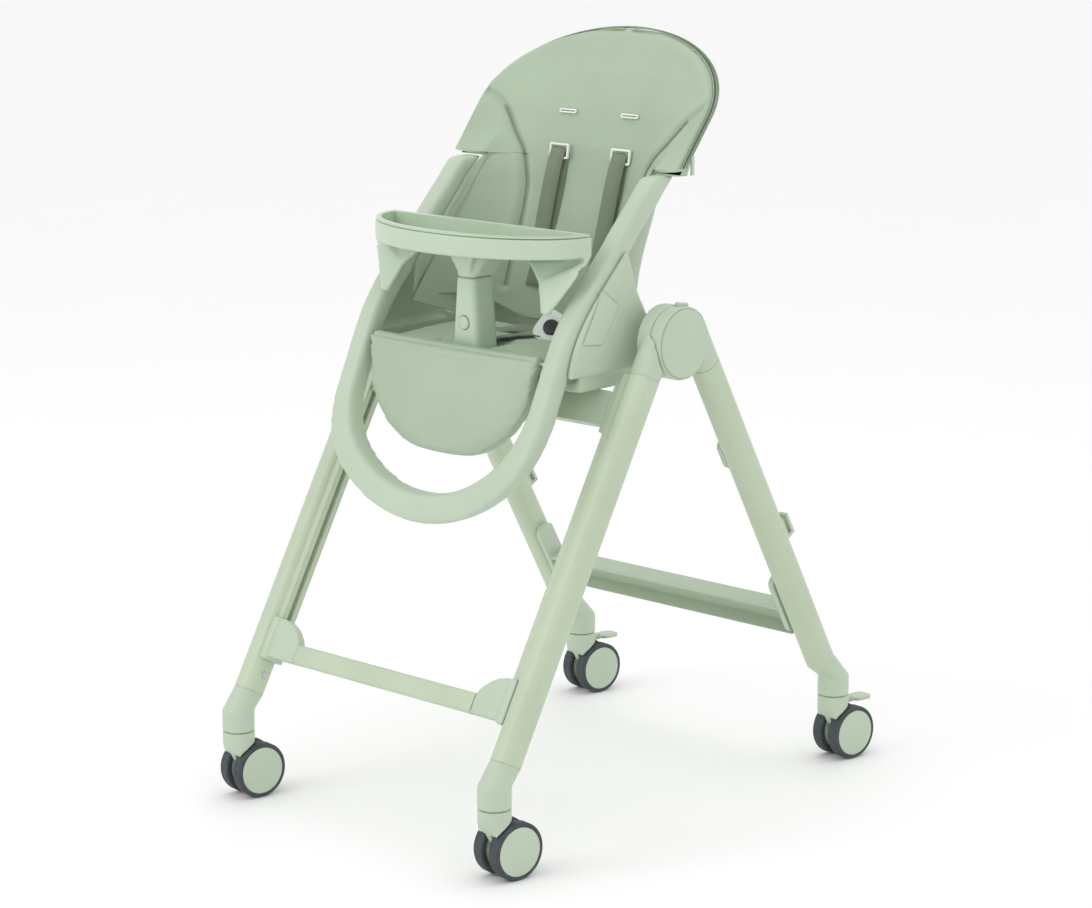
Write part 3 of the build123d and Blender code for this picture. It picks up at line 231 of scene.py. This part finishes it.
SAGE = linear(181, 196, 174)
PLASTIC = moulded_plastic("sage_plastic", SAGE, edge=0.0022)
GLOSS = moulded_plastic("sage_tray_plastic", linear(184, 201, 179), rough=0.34, edge=0.003)
# Painted shade: the back shell is the sage plastic made darker for the shade on its rear,
# away-facing side.
SHADED_SHELL_PLASTIC = moulded_plastic("sage_shell_plastic_shaded", linear(168, 182, 160), rough=0.46, edge=0.0016)
TUBE = powder_coat("sage_powder_coat", linear(182, 196, 170))
PAD = leatherette("sage_leatherette", linear(167, 184, 161))
PIPING = leatherette("sage_piping", linear(148, 166, 141))
STRAP = webbing("sage_webbing", linear(140, 156, 131))
WHITE = moulded_plastic("white_plastic", linear(236, 238, 232), rough=0.35, edge=0.0008)
DARK = moulded_plastic("dark_plastic", linear(52, 56, 58), rough=0.4, edge=0.0008)
# Painted shadow: a dark copy of the sage plastic for the shade in the seam along the cover's rim.
PAINTED_SEAM_SHADOW = moulded_plastic("seam_shadow", linear(92, 108, 88), rough=0.7, edge=0.0003)
TYRE = rubber("tyre_rubber", linear(62, 67, 71))
STEEL = steel("bright_steel", linear(205, 207, 208))

by_slot = {"frame_tube": TUBE, "frame_plastic": PLASTIC, "seat_plastic": PLASTIC, "padding": PAD,
           "webbing": STRAP, "white_plastic": WHITE, "dark_plastic": DARK, "tyre_rubber": TYRE,
           "steel": STEEL}
slot_of = {part["node"]: part["material_slot"] for part in frame["record"]["subparts"]}
for name, node in nodes.items():
    node.data.materials.clear()
    node.data.materials.append(by_slot[slot_of[name]])
for name, finish in (("tray_insert", GLOSS), ("back_shell", SHADED_SHELL_PLASTIC), ("slider_shoes", PLASTIC)):
    nodes[name].data.materials[0] = finish

# ==== Mesh helpers ==========================================================================


CREASE = 0.6        # radians; a sharper edge than this isn't shaded smooth


def finish_piece(obj, finish, body, replaced=()):
    obj.data.materials.clear()
    obj.data.materials.append(finish)
    if obj.type == "MESH":
        for face in obj.data.polygons:
            face.use_smooth = True
    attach(obj, body)
    if replaced:
        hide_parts(*replaced)
    return obj


def new_object(name, mesh):
    obj = bpy.data.objects.new(name, mesh)
    scene.collection.objects.link(obj)
    return obj


def copy_of(name, source):
    """A new mesh object that holds a copy of a CAD node."""
    mesh = bpy.data.meshes.new(name)
    copied = bmesh.new()
    copied.from_mesh(nodes[source].data)
    copied.to_mesh(mesh)
    copied.free()
    return new_object(name, mesh)


def lofted(name, rings):
    """A closed skin through rings of points, which all have the same count."""
    mesh = bmesh.new()
    made = [[mesh.verts.new(place) for place in ring] for ring in rings]
    for a, b in zip(made, made[1:]):
        for k in range(len(a)):
            after = (k + 1) % len(a)
            mesh.faces.new((a[k], a[after], b[after], b[k]))
    mesh.faces.new(made[0][::-1])
    mesh.faces.new(made[-1])
    bmesh.ops.recalc_face_normals(mesh, faces=mesh.faces)
    data = bpy.data.meshes.new(name)
    mesh.to_mesh(data)
    mesh.free()
    return new_object(name, data)


def apply_modifiers(obj):
    graph = bpy.context.evaluated_depsgraph_get()
    mesh = bpy.data.meshes.new_from_object(obj.evaluated_get(graph))
    obj.modifiers.clear()
    old = obj.data
    obj.data = mesh
    bpy.data.meshes.remove(old)


def remeshed(obj, voxel, rounds):
    """Rebuild as an even skin, and soften its edges as a mould does."""
    remesh = obj.modifiers.new("remesh", "REMESH")
    remesh.mode = "VOXEL"
    remesh.voxel_size = voxel
    soften = obj.modifiers.new("soften", "SMOOTH")
    soften.factor = 0.5
    soften.iterations = rounds
    apply_modifiers(obj)
    return obj


def moulded(name, node, voxel, rounds, finish=PLASTIC):
    """A moulded piece: the CAD node's shape with its sharp edges blended."""
    obj = remeshed(copy_of(name, node), voxel, rounds)
    return finish_piece(obj, finish, nodes[node]["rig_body"], (node,))


def vertex_values(obj, kind):
    values = np.zeros(len(obj.data.vertices) * 3)
    obj.data.vertices.foreach_get(kind, values)
    return values.reshape(-1, 3)


def points_of(obj):
    return vertex_values(obj, "co")


def normals_of(obj):
    return vertex_values(obj, "normal")


def set_points(obj, co):
    obj.data.vertices.foreach_set("co", co.ravel())
    obj.data.update()


def distance_to(co, path):
    """Each point's distance to a polyline."""
    best = np.full(len(co), 1e9)
    for a, b in zip(path, path[1:]):
        a, b = np.array(a), np.array(b)
        along = np.clip((co - a) @ (b - a) / ((b - a) @ (b - a)), 0, 1)
        best = np.minimum(best, np.linalg.norm(co - a - along[:, None] * (b - a), axis=1))
    return best


def sew(obj, path, width, depth, lip=0.25):
    """Pull a seam into a padded skin along a path, with a low swell on each side of it."""
    co = points_of(obj)
    off = distance_to(co, path) / width
    move = -depth * np.exp(-off ** 2) + lip * depth * np.exp(-((off - 2.2) / 0.9) ** 2)
    set_points(obj, co + normals_of(obj) * move[:, None])


STIFFNESS = 25.0
CLOTH_FRAMES = 20


def puffed(obj, voxel, pressure, cap):
    remeshed(obj, voxel, 6)
    start = points_of(obj)
    cloth = obj.modifiers.new("cloth", "CLOTH")
    cloth.settings.use_pressure = True
    cloth.settings.uniform_pressure_force = pressure
    cloth.settings.effector_weights.gravity = 0.0
    cloth.settings.tension_stiffness = STIFFNESS
    cloth.settings.compression_stiffness = STIFFNESS
    cloth.point_cache.frame_start = 1
    cloth.point_cache.frame_end = CLOTH_FRAMES
    for step in range(1, CLOTH_FRAMES + 1):
        scene.frame_set(step)
    apply_modifiers(obj)
    scene.frame_set(1)
    move = points_of(obj) - start
    far = np.linalg.norm(move, axis=1)
    far[far == 0] = 1
    set_points(obj, start + move * np.minimum(1, cap / far)[:, None])
    return obj


def smooth_curve(points, count):
    """Points along a Catmull-Rom curve through the given ones."""
    pts = [Vector(p) for p in points]
    pts = [2 * pts[0] - pts[1]] + pts + [2 * pts[-1] - pts[-2]]
    made = []
    for i in range(1, len(pts) - 2):
        for k in range(count):
            t = k / count
            a, b, c, d = pts[i - 1:i + 3]
            made.append(0.5 * (2 * b + (c - a) * t + (2 * a - 5 * b + 4 * c - d) * t * t
                               + (3 * b - a - 3 * c + d) * t ** 3))
    made.append(pts[-2])
    return made


def piping(name, points, radius, body, finish=PIPING):
    """A round bead sewn along an edge."""
    curve = bpy.data.curves.new(name, "CURVE")
    curve.dimensions = "3D"
    curve.bevel_depth = radius
    curve.bevel_resolution = 3
    spline = curve.splines.new("POLY")
    spline.points.add(len(points) - 1)
    for point, place in zip(spline.points, points):
        point.co = (*place, 1)
    return finish_piece(new_object(name, curve), finish, body)


# A strap's section, in half widths and half thicknesses: crowned on both faces, thin at its edges
BAND_SECTION = ((-1, 0), (-0.96, 1), (0, 1.15), (0.96, 1),
                (1, 0), (0.96, -1), (0, -1.15), (-0.96, -1))
BAND_STEPS = 8      # cross-sections between two given points


def band(name, points, sideways, width, thick, body, finish=STRAP, replaced=()):
    """A flat strap swept along a smooth path; sideways is its width direction at each point."""
    path = smooth_curve(points, BAND_STEPS)
    lean = smooth_curve(sideways, BAND_STEPS)
    rings = []
    for k, place in enumerate(path):
        ahead = (path[min(k + 1, len(path) - 1)] - path[max(k - 1, 0)]).normalized()
        side = (lean[k] - ahead * lean[k].dot(ahead)).normalized()
        up = side.cross(ahead)
        rings.append([place + side * x * width / 2 + up * z * thick / 2 for x, z in BAND_SECTION])
    return finish_piece(lofted(name, rings), finish, body, replaced)


# ==== Moulded pieces ========================================================================

moulded("hoop_moulding", "seat_hoop", 0.0035, 24)
moulded("seat_tub_moulding", "seat_shell", 0.003, 6)
moulded("post_moulding", "crotch_post", 0.002, 8, GLOSS)
moulded("bracket_mouldings", "crossbar_brackets", 0.002, 8)
moulded("front_foot_mouldings", "front_foot_sockets", 0.002, 10)
moulded("rear_foot_mouldings", "rear_foot_sockets", 0.002, 10)
for side, _ in SIDES:
    moulded(f"front_hub_moulding_{side}", f"front_hub_socket_{side}", 0.0018, 7)
    moulded(f"rear_hub_moulding_{side}", f"rear_hub_socket_{side}", 0.0018, 7)
    for end in ("front", "rear"):
        moulded(f"caster_moulding_{end}_{side}", f"caster_body_{end}_{side}", 0.0014, 5)

# ==== Tray ==================================================================================

DISH_LOW, DISH_BLEND = 0.776, 0.006      # the dish starts above the fins
DISH_NARROWER, DISH_SHORTER = 0.06, 0.11
DISH_CORNER_Y, DISH_BACK = -0.149, 0.019    # the dish's rear corners, and how far they move back


def true_dish(piece):
    """Bring the dish, above the fins, to the smaller plan that the tray has, further back."""
    for vert in piece.data.vertices:
        share = min(1.0, max(0.0, (vert.co.z - DISH_LOW) / DISH_BLEND))
        vert.co.x *= 1 - DISH_NARROWER * share
        vert.co.y += share * (DISH_BACK - DISH_SHORTER * (vert.co.y - DISH_CORNER_Y))
    return piece


tray = true_dish(copy_of("tray_moulding", "tray_body"))
remeshed(tray, 0.0022, 9)
finish_piece(tray, GLOSS, "tray", ("tray_body",))
insert = true_dish(copy_of("tray_insert_moulding", "tray_insert"))
finish_piece(insert, GLOSS, "tray_insert", ("tray_insert",))
insert.data.set_sharp_from_angle(angle=CREASE)

# ==== Height triggers, flush with the hips ==================================================

TRIGGER_SUNK = 0.0014

for side, sign in SIDES:
    node = f"height_trigger_{side}"
    trigger = copy_of(f"height_trigger_moulding_{side}", node)
    for vert in trigger.data.vertices:
        vert.co.x -= sign * TRIGGER_SUNK
    finish_piece(trigger, PLASTIC, node, (node,))
    for face in trigger.data.polygons:
        face.use_smooth = False

# ==== Padding ===============================================================================

HEAD_HALF, HEAD_CENTRE_Z, HEAD_RISE = 0.207, 0.955, 0.104
ARM_HALF = 0.1605                           # half width between the hoop's arms
WING_LOW, WING_STEP = 0.8815, 0.004         # the wings start here above the arms, this steeply
RIM_Y, RIM_Z, RIM_SLOPE = -0.030, 0.842, 0.80
RIM_DEEP = 0.027                            # how far the cover wraps back round the shell's rim
SHELL_TUCK = 0.004                          # how far the shell runs on under the cover
# Y of the backrest's rim and of the middle of its face, at each height
HEIGHTS = (0.632, 0.690, 0.740, 0.790, 0.842, 0.900, 0.950, 1.000, 1.062)
EDGE_Y = (-0.128, -0.130, -0.124, -0.079, -0.030, 0.014, 0.052, 0.092, 0.142)
FACE_Y = (0.030, 0.040, 0.050, 0.060, 0.070, 0.079, 0.094, 0.114, 0.148)


def rim_back(z):
    """Y of the cover's rear edge at height z."""
    return RIM_Y + RIM_SLOPE * (z - RIM_Z) + RIM_DEEP


def ease(value):
    """0 to 1 with a soft start and end."""
    value = min(1.0, max(0.0, value))
    return value * value * (3 - 2 * value)


def divided(obj):
    subdivide = obj.modifiers.new("subdivide", "SUBSURF")
    subdivide.levels = 1
    subdivide.render_levels = 1
    apply_modifiers(obj)


# The shell, less the rim that the cover wraps
shell_rear = copy_of("shell_moulding", "back_shell")
shape = bmesh.new()
shape.from_mesh(shell_rear.data)
geom = shape.verts[:] + shape.edges[:] + shape.faces[:]
bmesh.ops.bisect_plane(shape, geom=geom, plane_co=(0, rim_back(RIM_Z) - SHELL_TUCK, RIM_Z),
                       plane_no=Vector((0, 1, -RIM_SLOPE)).normalized(), clear_inner=True)
shape.to_mesh(shell_rear.data)
shape.free()
finish_piece(shell_rear, SHADED_SHELL_PLASTIC, "backrest", ("back_shell",))
shell_rear.data.set_sharp_from_angle(angle=CREASE)


def cover_half(z):
    """Half width: narrow between the hoop's arms, wide above them and round at the top."""
    if z > HEAD_CENTRE_Z:
        return HEAD_HALF * math.sqrt(max(0.0, 1 - ((z - HEAD_CENTRE_Z) / HEAD_RISE) ** 2))
    return ARM_HALF + (HEAD_HALF - ARM_HALF) * ease((z - WING_LOW) / WING_STEP)


TINY = 1e-6


def edge_distance(x, z):
    """Roughly how far inside the outline a point is."""
    if z <= HEAD_CENTRE_Z:
        return cover_half(z) - abs(x)
    up = z - HEAD_CENTRE_Z
    reach = math.hypot(x / HEAD_HALF, up / HEAD_RISE)
    slope = math.hypot(x / HEAD_HALF ** 2, up / HEAD_RISE ** 2) / max(reach, TINY)
    return (1 - reach) / max(slope, TINY)


LIP, LIP_SHARE = 0.010, 0.8                 # the rolled edge's radius, and how much of it shows
BOWL_POWER, BOWL_ROOT = 2.7, 1.9
ARM_BOWL_TOP, HEAD_BOWL_RISE = 0.850, 0.090     # the narrow bowl turns into the wide one from here


def bowl_depth(x, half):
    """Share of the bowl's depth at x: none at its rim, all of it at its centre."""
    return (1 - min(1.0, abs(x) / max(half, TINY)) ** BOWL_POWER) ** (1 / BOWL_ROOT)


def cover_face(x, z):
    """Y of the cover's front: a bowl between its rim and its centre, with a rolled lip."""
    edge, face = np.interp(z, HEIGHTS, EDGE_Y), np.interp(z, HEIGHTS, FACE_Y)
    share = ease((z - ARM_BOWL_TOP) / HEAD_BOWL_RISE)
    wide = cover_half(z) if z > HEAD_CENTRE_Z else HEAD_HALF
    hollow = bowl_depth(x, ARM_HALF) * (1 - share) + bowl_depth(x, wide) * share
    inside = max(0.0, edge_distance(x, z))
    rolled = LIP - math.sqrt(max(0.0, LIP ** 2 - max(0.0, LIP - inside) ** 2))
    return edge + (face - edge) * hollow + rolled * LIP_SHARE


COVER_LOW, COVER_SPARE = 0.655, 0.0015      # its lower edge, and how far it stands off the outline
CORNER_LIFT, CORNER_START, CORNER_FADE = 0.037, 0.45, 0.12      # its lower corners turn up
SIDE_COLUMNS, BODY_ROWS, HEAD_ROWS, STEP_ROWS = 44, 70, 34, 5
FACE_SHARE, TOP_SHARE = 0.999, 0.9995       # just short of the rim and the crown, to stay defined
WRAPS = (0.35, 0.7, 1.0)                    # the wrap's rings, as shares of its depth
WRAP_LEAST, WRAP_BOTTOM, WRAP_FROM_Z = 0.002, 0.010, 0.70
COVER_THICK = 0.0025

columns = [math.sin(math.pi / 2 * k / SIDE_COLUMNS) for k in range(-SIDE_COLUMNS, SIDE_COLUMNS + 1)]
rows = [COVER_LOW + (HEAD_CENTRE_Z - COVER_LOW) * k / BODY_ROWS for k in range(BODY_ROWS)]
rows = sorted(rows + [WING_LOW + WING_STEP * k / (STEP_ROWS - 1) for k in range(STEP_ROWS)])
rows += [HEAD_CENTRE_Z + HEAD_RISE * math.sin(math.pi / 2 * k / HEAD_ROWS) * TOP_SHARE
         for k in range(HEAD_ROWS + 1)]
shape = bmesh.new()
grid = []
for z in rows:
    half = cover_half(z) + COVER_SPARE
    line = []
    for t in columns:
        lift = CORNER_LIFT * ease((abs(t) - CORNER_START) / 0.5)
        high = z + lift * max(0.0, 1 - (z - COVER_LOW) / CORNER_FADE)
        line.append(shape.verts.new((half * t, cover_face(half * t * FACE_SHARE, high), high)))
    grid.append(line)
for a, b in zip(grid, grid[1:]):
    for k in range(len(a) - 1):
        shape.faces.new((a[k], a[k + 1], b[k + 1], b[k]))
outline = [line[0] for line in grid] + grid[-1][1:-1] + [line[-1] for line in reversed(grid)]
previous = outline
for deep in WRAPS:
    ring = []
    for vert in outline:
        x, y, z = vert.co
        if z > WRAP_FROM_Z:
            back = max(y + WRAP_LEAST, y + (rim_back(z) - y) * deep)
        else:
            back = y + WRAP_BOTTOM * deep
        ring.append(shape.verts.new((x, back, z)))
    for k in range(len(outline) - 1):
        shape.faces.new((previous[k], previous[k + 1], ring[k + 1], ring[k]))
    previous = ring
bmesh.ops.remove_doubles(shape, verts=shape.verts, dist=0.0002)
bmesh.ops.recalc_face_normals(shape, faces=shape.faces)
cover_mesh = bpy.data.meshes.new("back_cover")
shape.to_mesh(cover_mesh)
shape.free()
back_cover = new_object("back_cover", cover_mesh)
thick = back_cover.modifiers.new("thick", "SOLIDIFY")
thick.thickness = COVER_THICK
thick.offset = -1.0
apply_modifiers(back_cover)
PRESSURE = 4.0
seat_cover = puffed(copy_of("seat_cover", "seat_pad"), 0.005, PRESSURE, 0.008)
calf_cover = puffed(copy_of("calf_cover", "calf_pad"), 0.004, PRESSURE, 0.0025)
for cover in (back_cover, seat_cover, calf_cover):
    divided(cover)

# Wing seams, as they run seen from the front (x, z)
WING_SEAM = ((-0.206, 0.968), (-0.172, 0.947), (-0.143, 0.913), (-0.121, 0.887), (-0.108, 0.852),
             (-0.104, 0.817), (-0.104, 0.770), (-0.108, 0.700))
SEAM_WIDE, SEAM_DEEP, SEAM_SWELL = 0.0042, 0.0048, 0.0014
SEAM_END_X = 0.2045                         # the seams stop here, short of the cover's wrap
OUT_OF_FACE = np.array((0, -1.0, 0.35))       # a seam moves against it

for _, sign in SIDES:
    line = smooth_curve([(-sign * x, 0, z) for x, z in WING_SEAM], 6)
    co = points_of(back_cover)
    off = distance_to(co[:, [0, 2]], [(p.x, p.z) for p in line]) / SEAM_WIDE
    front = np.abs(co[:, 0]) < SEAM_END_X
    move = -SEAM_DEEP * np.exp(-off ** 2) + SEAM_SWELL * np.exp(-((off - 2.5) / 1.3) ** 2)
    set_points(back_cover, co + OUT_OF_FACE * (move * front)[:, None])

# The calf pad's top seams, across its front
CALF_LEAN = math.radians(10.5)
CALF_UP = Vector((0, math.sin(CALF_LEAN), math.cos(CALF_LEAN)))
CALF_OUT = Vector((0, -CALF_UP.z, CALF_UP.y))
HINGE = Vector((0, -0.197, 0.645))
CALF_SEAM_HALF, CALF_SEAM = 0.17, 0.0022


def on_calf(x, up, out):
    return Vector((x, 0, 0)) + HINGE + CALF_UP * up + CALF_OUT * out


for up in (0.004, -0.008):
    ends = [on_calf(x, up, 0.012) for x in (-CALF_SEAM_HALF, CALF_SEAM_HALF)]
    sew(calf_cover, ends, CALF_SEAM, CALF_SEAM)
# The seat pad's two seams beside the post, and the one across it
SEAT_SEAM = 0.0045
for x in (-0.060, 0.060):
    sew(seat_cover, [(x, -0.185, 0.646), (x * 1.2, -0.02, 0.650)], SEAT_SEAM, 0.0042)
sew(seat_cover, [(-0.16, -0.115, 0.650), (0.16, -0.115, 0.650)], SEAT_SEAM, 0.0036)

# A thread along each wing seam, set just into the face
for side, sign in SIDES:
    line = smooth_curve([(sign * x, 0, z) for x, z in WING_SEAM[1:]], 4)
    thread = [Vector((p.x, cover_face(p.x, p.z) + 0.0018, p.z)) for p in line]
    piping(f"wing_seam_{side}", thread, 0.0009, "backrest", STRAP)
finish_piece(back_cover, PAD, "backrest", ("back_pad",))
finish_piece(seat_cover, PAD, "seat", ("seat_pad",))
finish_piece(calf_cover, PAD, "legrest", ("calf_pad",))


SIDE_POINTS, TOP_POINTS = 15, 49
LINES_LOW = 0.890


def rim_line(inset, outward):
    """The cover's outline, from one wing's foot round to the other, ahead of its rear edge."""
    made = []
    for k in range(SIDE_POINTS):
        z = LINES_LOW + (HEAD_CENTRE_Z - LINES_LOW) * k / SIDE_POINTS
        made.append(Vector((HEAD_HALF + outward, rim_back(z) - inset, z)))
    for k in range(TOP_POINTS):
        turn = math.pi * k / (TOP_POINTS - 1)
        z = HEAD_CENTRE_Z + (HEAD_RISE + outward) * math.sin(turn)
        made.append(Vector(((HEAD_HALF + outward) * math.cos(turn), rim_back(z) - inset, z)))
    return made + [Vector((-p.x, p.y, p.z)) for p in reversed(made[:SIDE_POINTS])]


ZIP_POINTS = 62         # the zip runs up the right wing and over, and stops before the left one
piping("rim_piping", rim_line(0.001, 0.0016), 0.0013, "backrest")
# The zip coil is real; its dark colour is painted shadow of the seam it runs in.
piping("zip_coil", rim_line(0.009, 0.0030)[:ZIP_POINTS], 0.0011, "backrest", PAINTED_SEAM_SHADOW)
piping("zip_tape_edge", rim_line(0.0135, 0.0030)[:ZIP_POINTS], 0.0008, "backrest")

# ==== Harness ===============================================================================


def pad_front(z):
    """Y of the back cover's face near the middle, at height z."""
    return float(np.interp(z, HEIGHTS, FACE_Y))


# Each shoulder strap hangs from its ring: heights, how far ahead of the pad, and sideways drift
STRAP_X, STRAP_SHIFT = 0.058, -0.001
STRAP_HEIGHTS = (0.894, 0.884, 0.850, 0.800, 0.750, 0.700)
STRAP_AHEAD = (0.0065, 0.010, 0.013, 0.012, 0.012, 0.014)
STRAP_DRIFT = (0, -0.001, -0.004, -0.009, -0.013, -0.016)

for side, sign in SIDES:
    x = sign * STRAP_X + STRAP_SHIFT
    front = [(x + drift, pad_front(z) - ahead, z)
             for z, ahead, drift in zip(STRAP_HEIGHTS, STRAP_AHEAD, STRAP_DRIFT)]
    over = ("shoulder_straps",) if sign < 0 else ()
    band(f"shoulder_strap_{side}", front, [(1, 0.03 * k, 0) for k in range(6)], 0.027, 0.0016,
         "backrest", replaced=over)
    # The strap's returning end, behind it and a little to one side
    under = [(px + 0.004 + 0.0012 * k, py + 0.0055, pz) for k, (px, py, pz) in enumerate(front)]
    band(f"shoulder_strap_under_{side}", under, [(1, 0.35, 0)] * 6, 0.025, 0.0014, "backrest")

TOP = 0.650             # the seat pad's top
BUCKLE = Vector((0.075, -0.088, TOP + 0.020))
BUCKLE_UP = Vector((0.25, 0.60, 0.76)).normalized()
FACING = Vector((0.45, -0.72, 0.52))
BUCKLE_OUT = (FACING - BUCKLE_UP * FACING.dot(BUCKLE_UP)).normalized()
BUCKLE_SIDE = BUCKLE_UP.cross(BUCKLE_OUT)
PILLOW_POINTS = 48


def on_buckle(side, up, out):
    return BUCKLE + BUCKLE_SIDE * side + BUCKLE_UP * up + BUCKLE_OUT * out


def pillow(name, half_wide, half_high, layers, power, finish, body, replaced):
    """A rounded plate on the buckle: layers are (share of its size, how far out)."""
    rings = []
    for share, out in layers:
        ring = []
        for k in range(PILLOW_POINTS):
            turn = 2 * math.pi * k / PILLOW_POINTS
            across, along = math.cos(turn), math.sin(turn)
            x = math.copysign(abs(across) ** (2 / power), across) * half_wide * share
            y = math.copysign(abs(along) ** (2 / power), along) * half_high * share
            ring.append(on_buckle(x, y, out))
        rings.append(ring)
    return finish_piece(lofted(name, rings), finish, body, replaced)


pillow("buckle_plate", 0.022, 0.024,
       ((0.9, -0.006), (0.98, -0.004), (1.0, 0.0), (0.98, 0.003), (0.9, 0.0045), (0.6, 0.005)),
       4.0, WHITE, "seat", ("harness_buckle",))
pillow("buckle_push", 0.0115, 0.0115,
       ((0.95, 0.002), (1.0, 0.005), (0.97, 0.0068), (0.85, 0.0076), (0.4, 0.0079)),
       2.0, DARK, "buckle_button", ("buckle_button",))
WEB_THICK = 0.0018
band("crotch_webbing",
     [(0.002, -0.130, TOP + 0.004), (0.020, -0.118, TOP + 0.007), (0.045, -0.104, TOP + 0.012),
      (0.062, -0.094, TOP + 0.010)],
     [(0.3, 1, 0), (-0.4, 1, 0), (-0.6, 1, 0), (-0.6, 1, 0)],
     0.026, WEB_THICK, "seat", replaced=("crotch_strap",))
band("waist_webbing_right",
     [(0.092, -0.082, TOP + 0.012), (0.104, -0.074, TOP + 0.017), (0.116, -0.060, TOP + 0.009),
      (0.122, -0.042, TOP + 0.004)],
     [(0.2, 1, 0.2), (0.5, 1, 0.4), (1, 0.5, 0.2), (1, 0.2, 0)],
     0.025, WEB_THICK, "seat", replaced=("waist_straps",))
band("waist_webbing_left",
     [(-0.120, -0.045, TOP + 0.004), (-0.085, -0.070, TOP + 0.006), (-0.040, -0.085, TOP + 0.005),
      (0.010, -0.080, TOP + 0.012), (0.052, -0.082, TOP + 0.011)],
     [(0.4, 1, 0), (0.2, 1, 0), (0, 1, 0.1), (0, 1, 0.3), (0, 1, 0.2)],
     0.025, WEB_THICK, "seat")

# ==== Stage, light and camera ===============================================================

FLOOR_HALF = 30.0
FLOOR_PLAN = ((-1, -1), (1, -1), (1, 1), (-1, 1))

floor_mesh = bpy.data.meshes.new("floor")
floor_corners = [(x * FLOOR_HALF, y * FLOOR_HALF, 0) for x, y in FLOOR_PLAN]
floor_mesh.from_pydata(floor_corners, [], [(0, 1, 2, 3)])
floor = new_object("floor", floor_mesh)
pale = Shader("studio_floor")
floor_tones = ((0.0, (0.95, 0.95, 0.95, 1)), (1.0, (0.965, 0.965, 0.965, 1)))
pale.link(pale.ramp(pale.noise(3.0), floor_tones), pale.bsdf.inputs["Base Color"])
pale.link(pale.spread(pale.noise(30.0), 0.6, 0.7), pale.bsdf.inputs["Roughness"])
floor.data.materials.append(pale.material)

world = bpy.data.worlds.new("studio")
scene.world = world
world.use_nodes = True
sky = world.node_tree.nodes["Background"]
sky.inputs["Color"].default_value = (1.0, 1.0, 1.0, 1)
sky.inputs["Strength"].default_value = 0.98
SEAT_HEART = Vector((0, 0, 0.6))        # what the lights aim at


def softbox(name, place, size, power):
    """A square area light, metres across and watts, aimed at the seat."""
    light = bpy.data.lights.new(name, "AREA")
    light.shape = "RECTANGLE"
    light.size = light.size_y = size
    light.energy = power
    obj = bpy.data.objects.new(name, light)
    scene.collection.objects.link(obj)
    obj.location = place
    obj.rotation_mode = "QUATERNION"
    obj.rotation_quaternion = (SEAT_HEART - Vector(place)).to_track_quat("-Z", "Y")


softbox("key", (-1.2, -3.4, 2.6), 1.8, 24)
softbox("fill", (2.8, -1.2, 1.6), 2.4, 2)
softbox("top", (0.2, 0.6, 3.4), 2.5, 11)

# The camera that the photograph was taken with, as solved from the chair itself
AZIMUTH, ELEVATION = math.radians(43.0755), math.radians(12.0344)
DISTANCE, LENS = 4.29581, 100.24
TARGET = Vector((-0.00386, -0.01561, 0.47212))

camera = bpy.data.objects.new("camera", bpy.data.cameras.new("camera"))
scene.collection.objects.link(camera)
camera.data.sensor_width = 36.0
camera.data.lens = LENS
back = Vector((math.sin(AZIMUTH) * math.cos(ELEVATION),
               -math.cos(AZIMUTH) * math.cos(ELEVATION), math.sin(ELEVATION)))
camera.location = TARGET + back * DISTANCE
camera.rotation_mode = "QUATERNION"
camera.rotation_quaternion = back.to_track_quat("Z", "Y")
camera.data.clip_start, camera.data.clip_end = 0.1, 200.0
scene.camera = camera
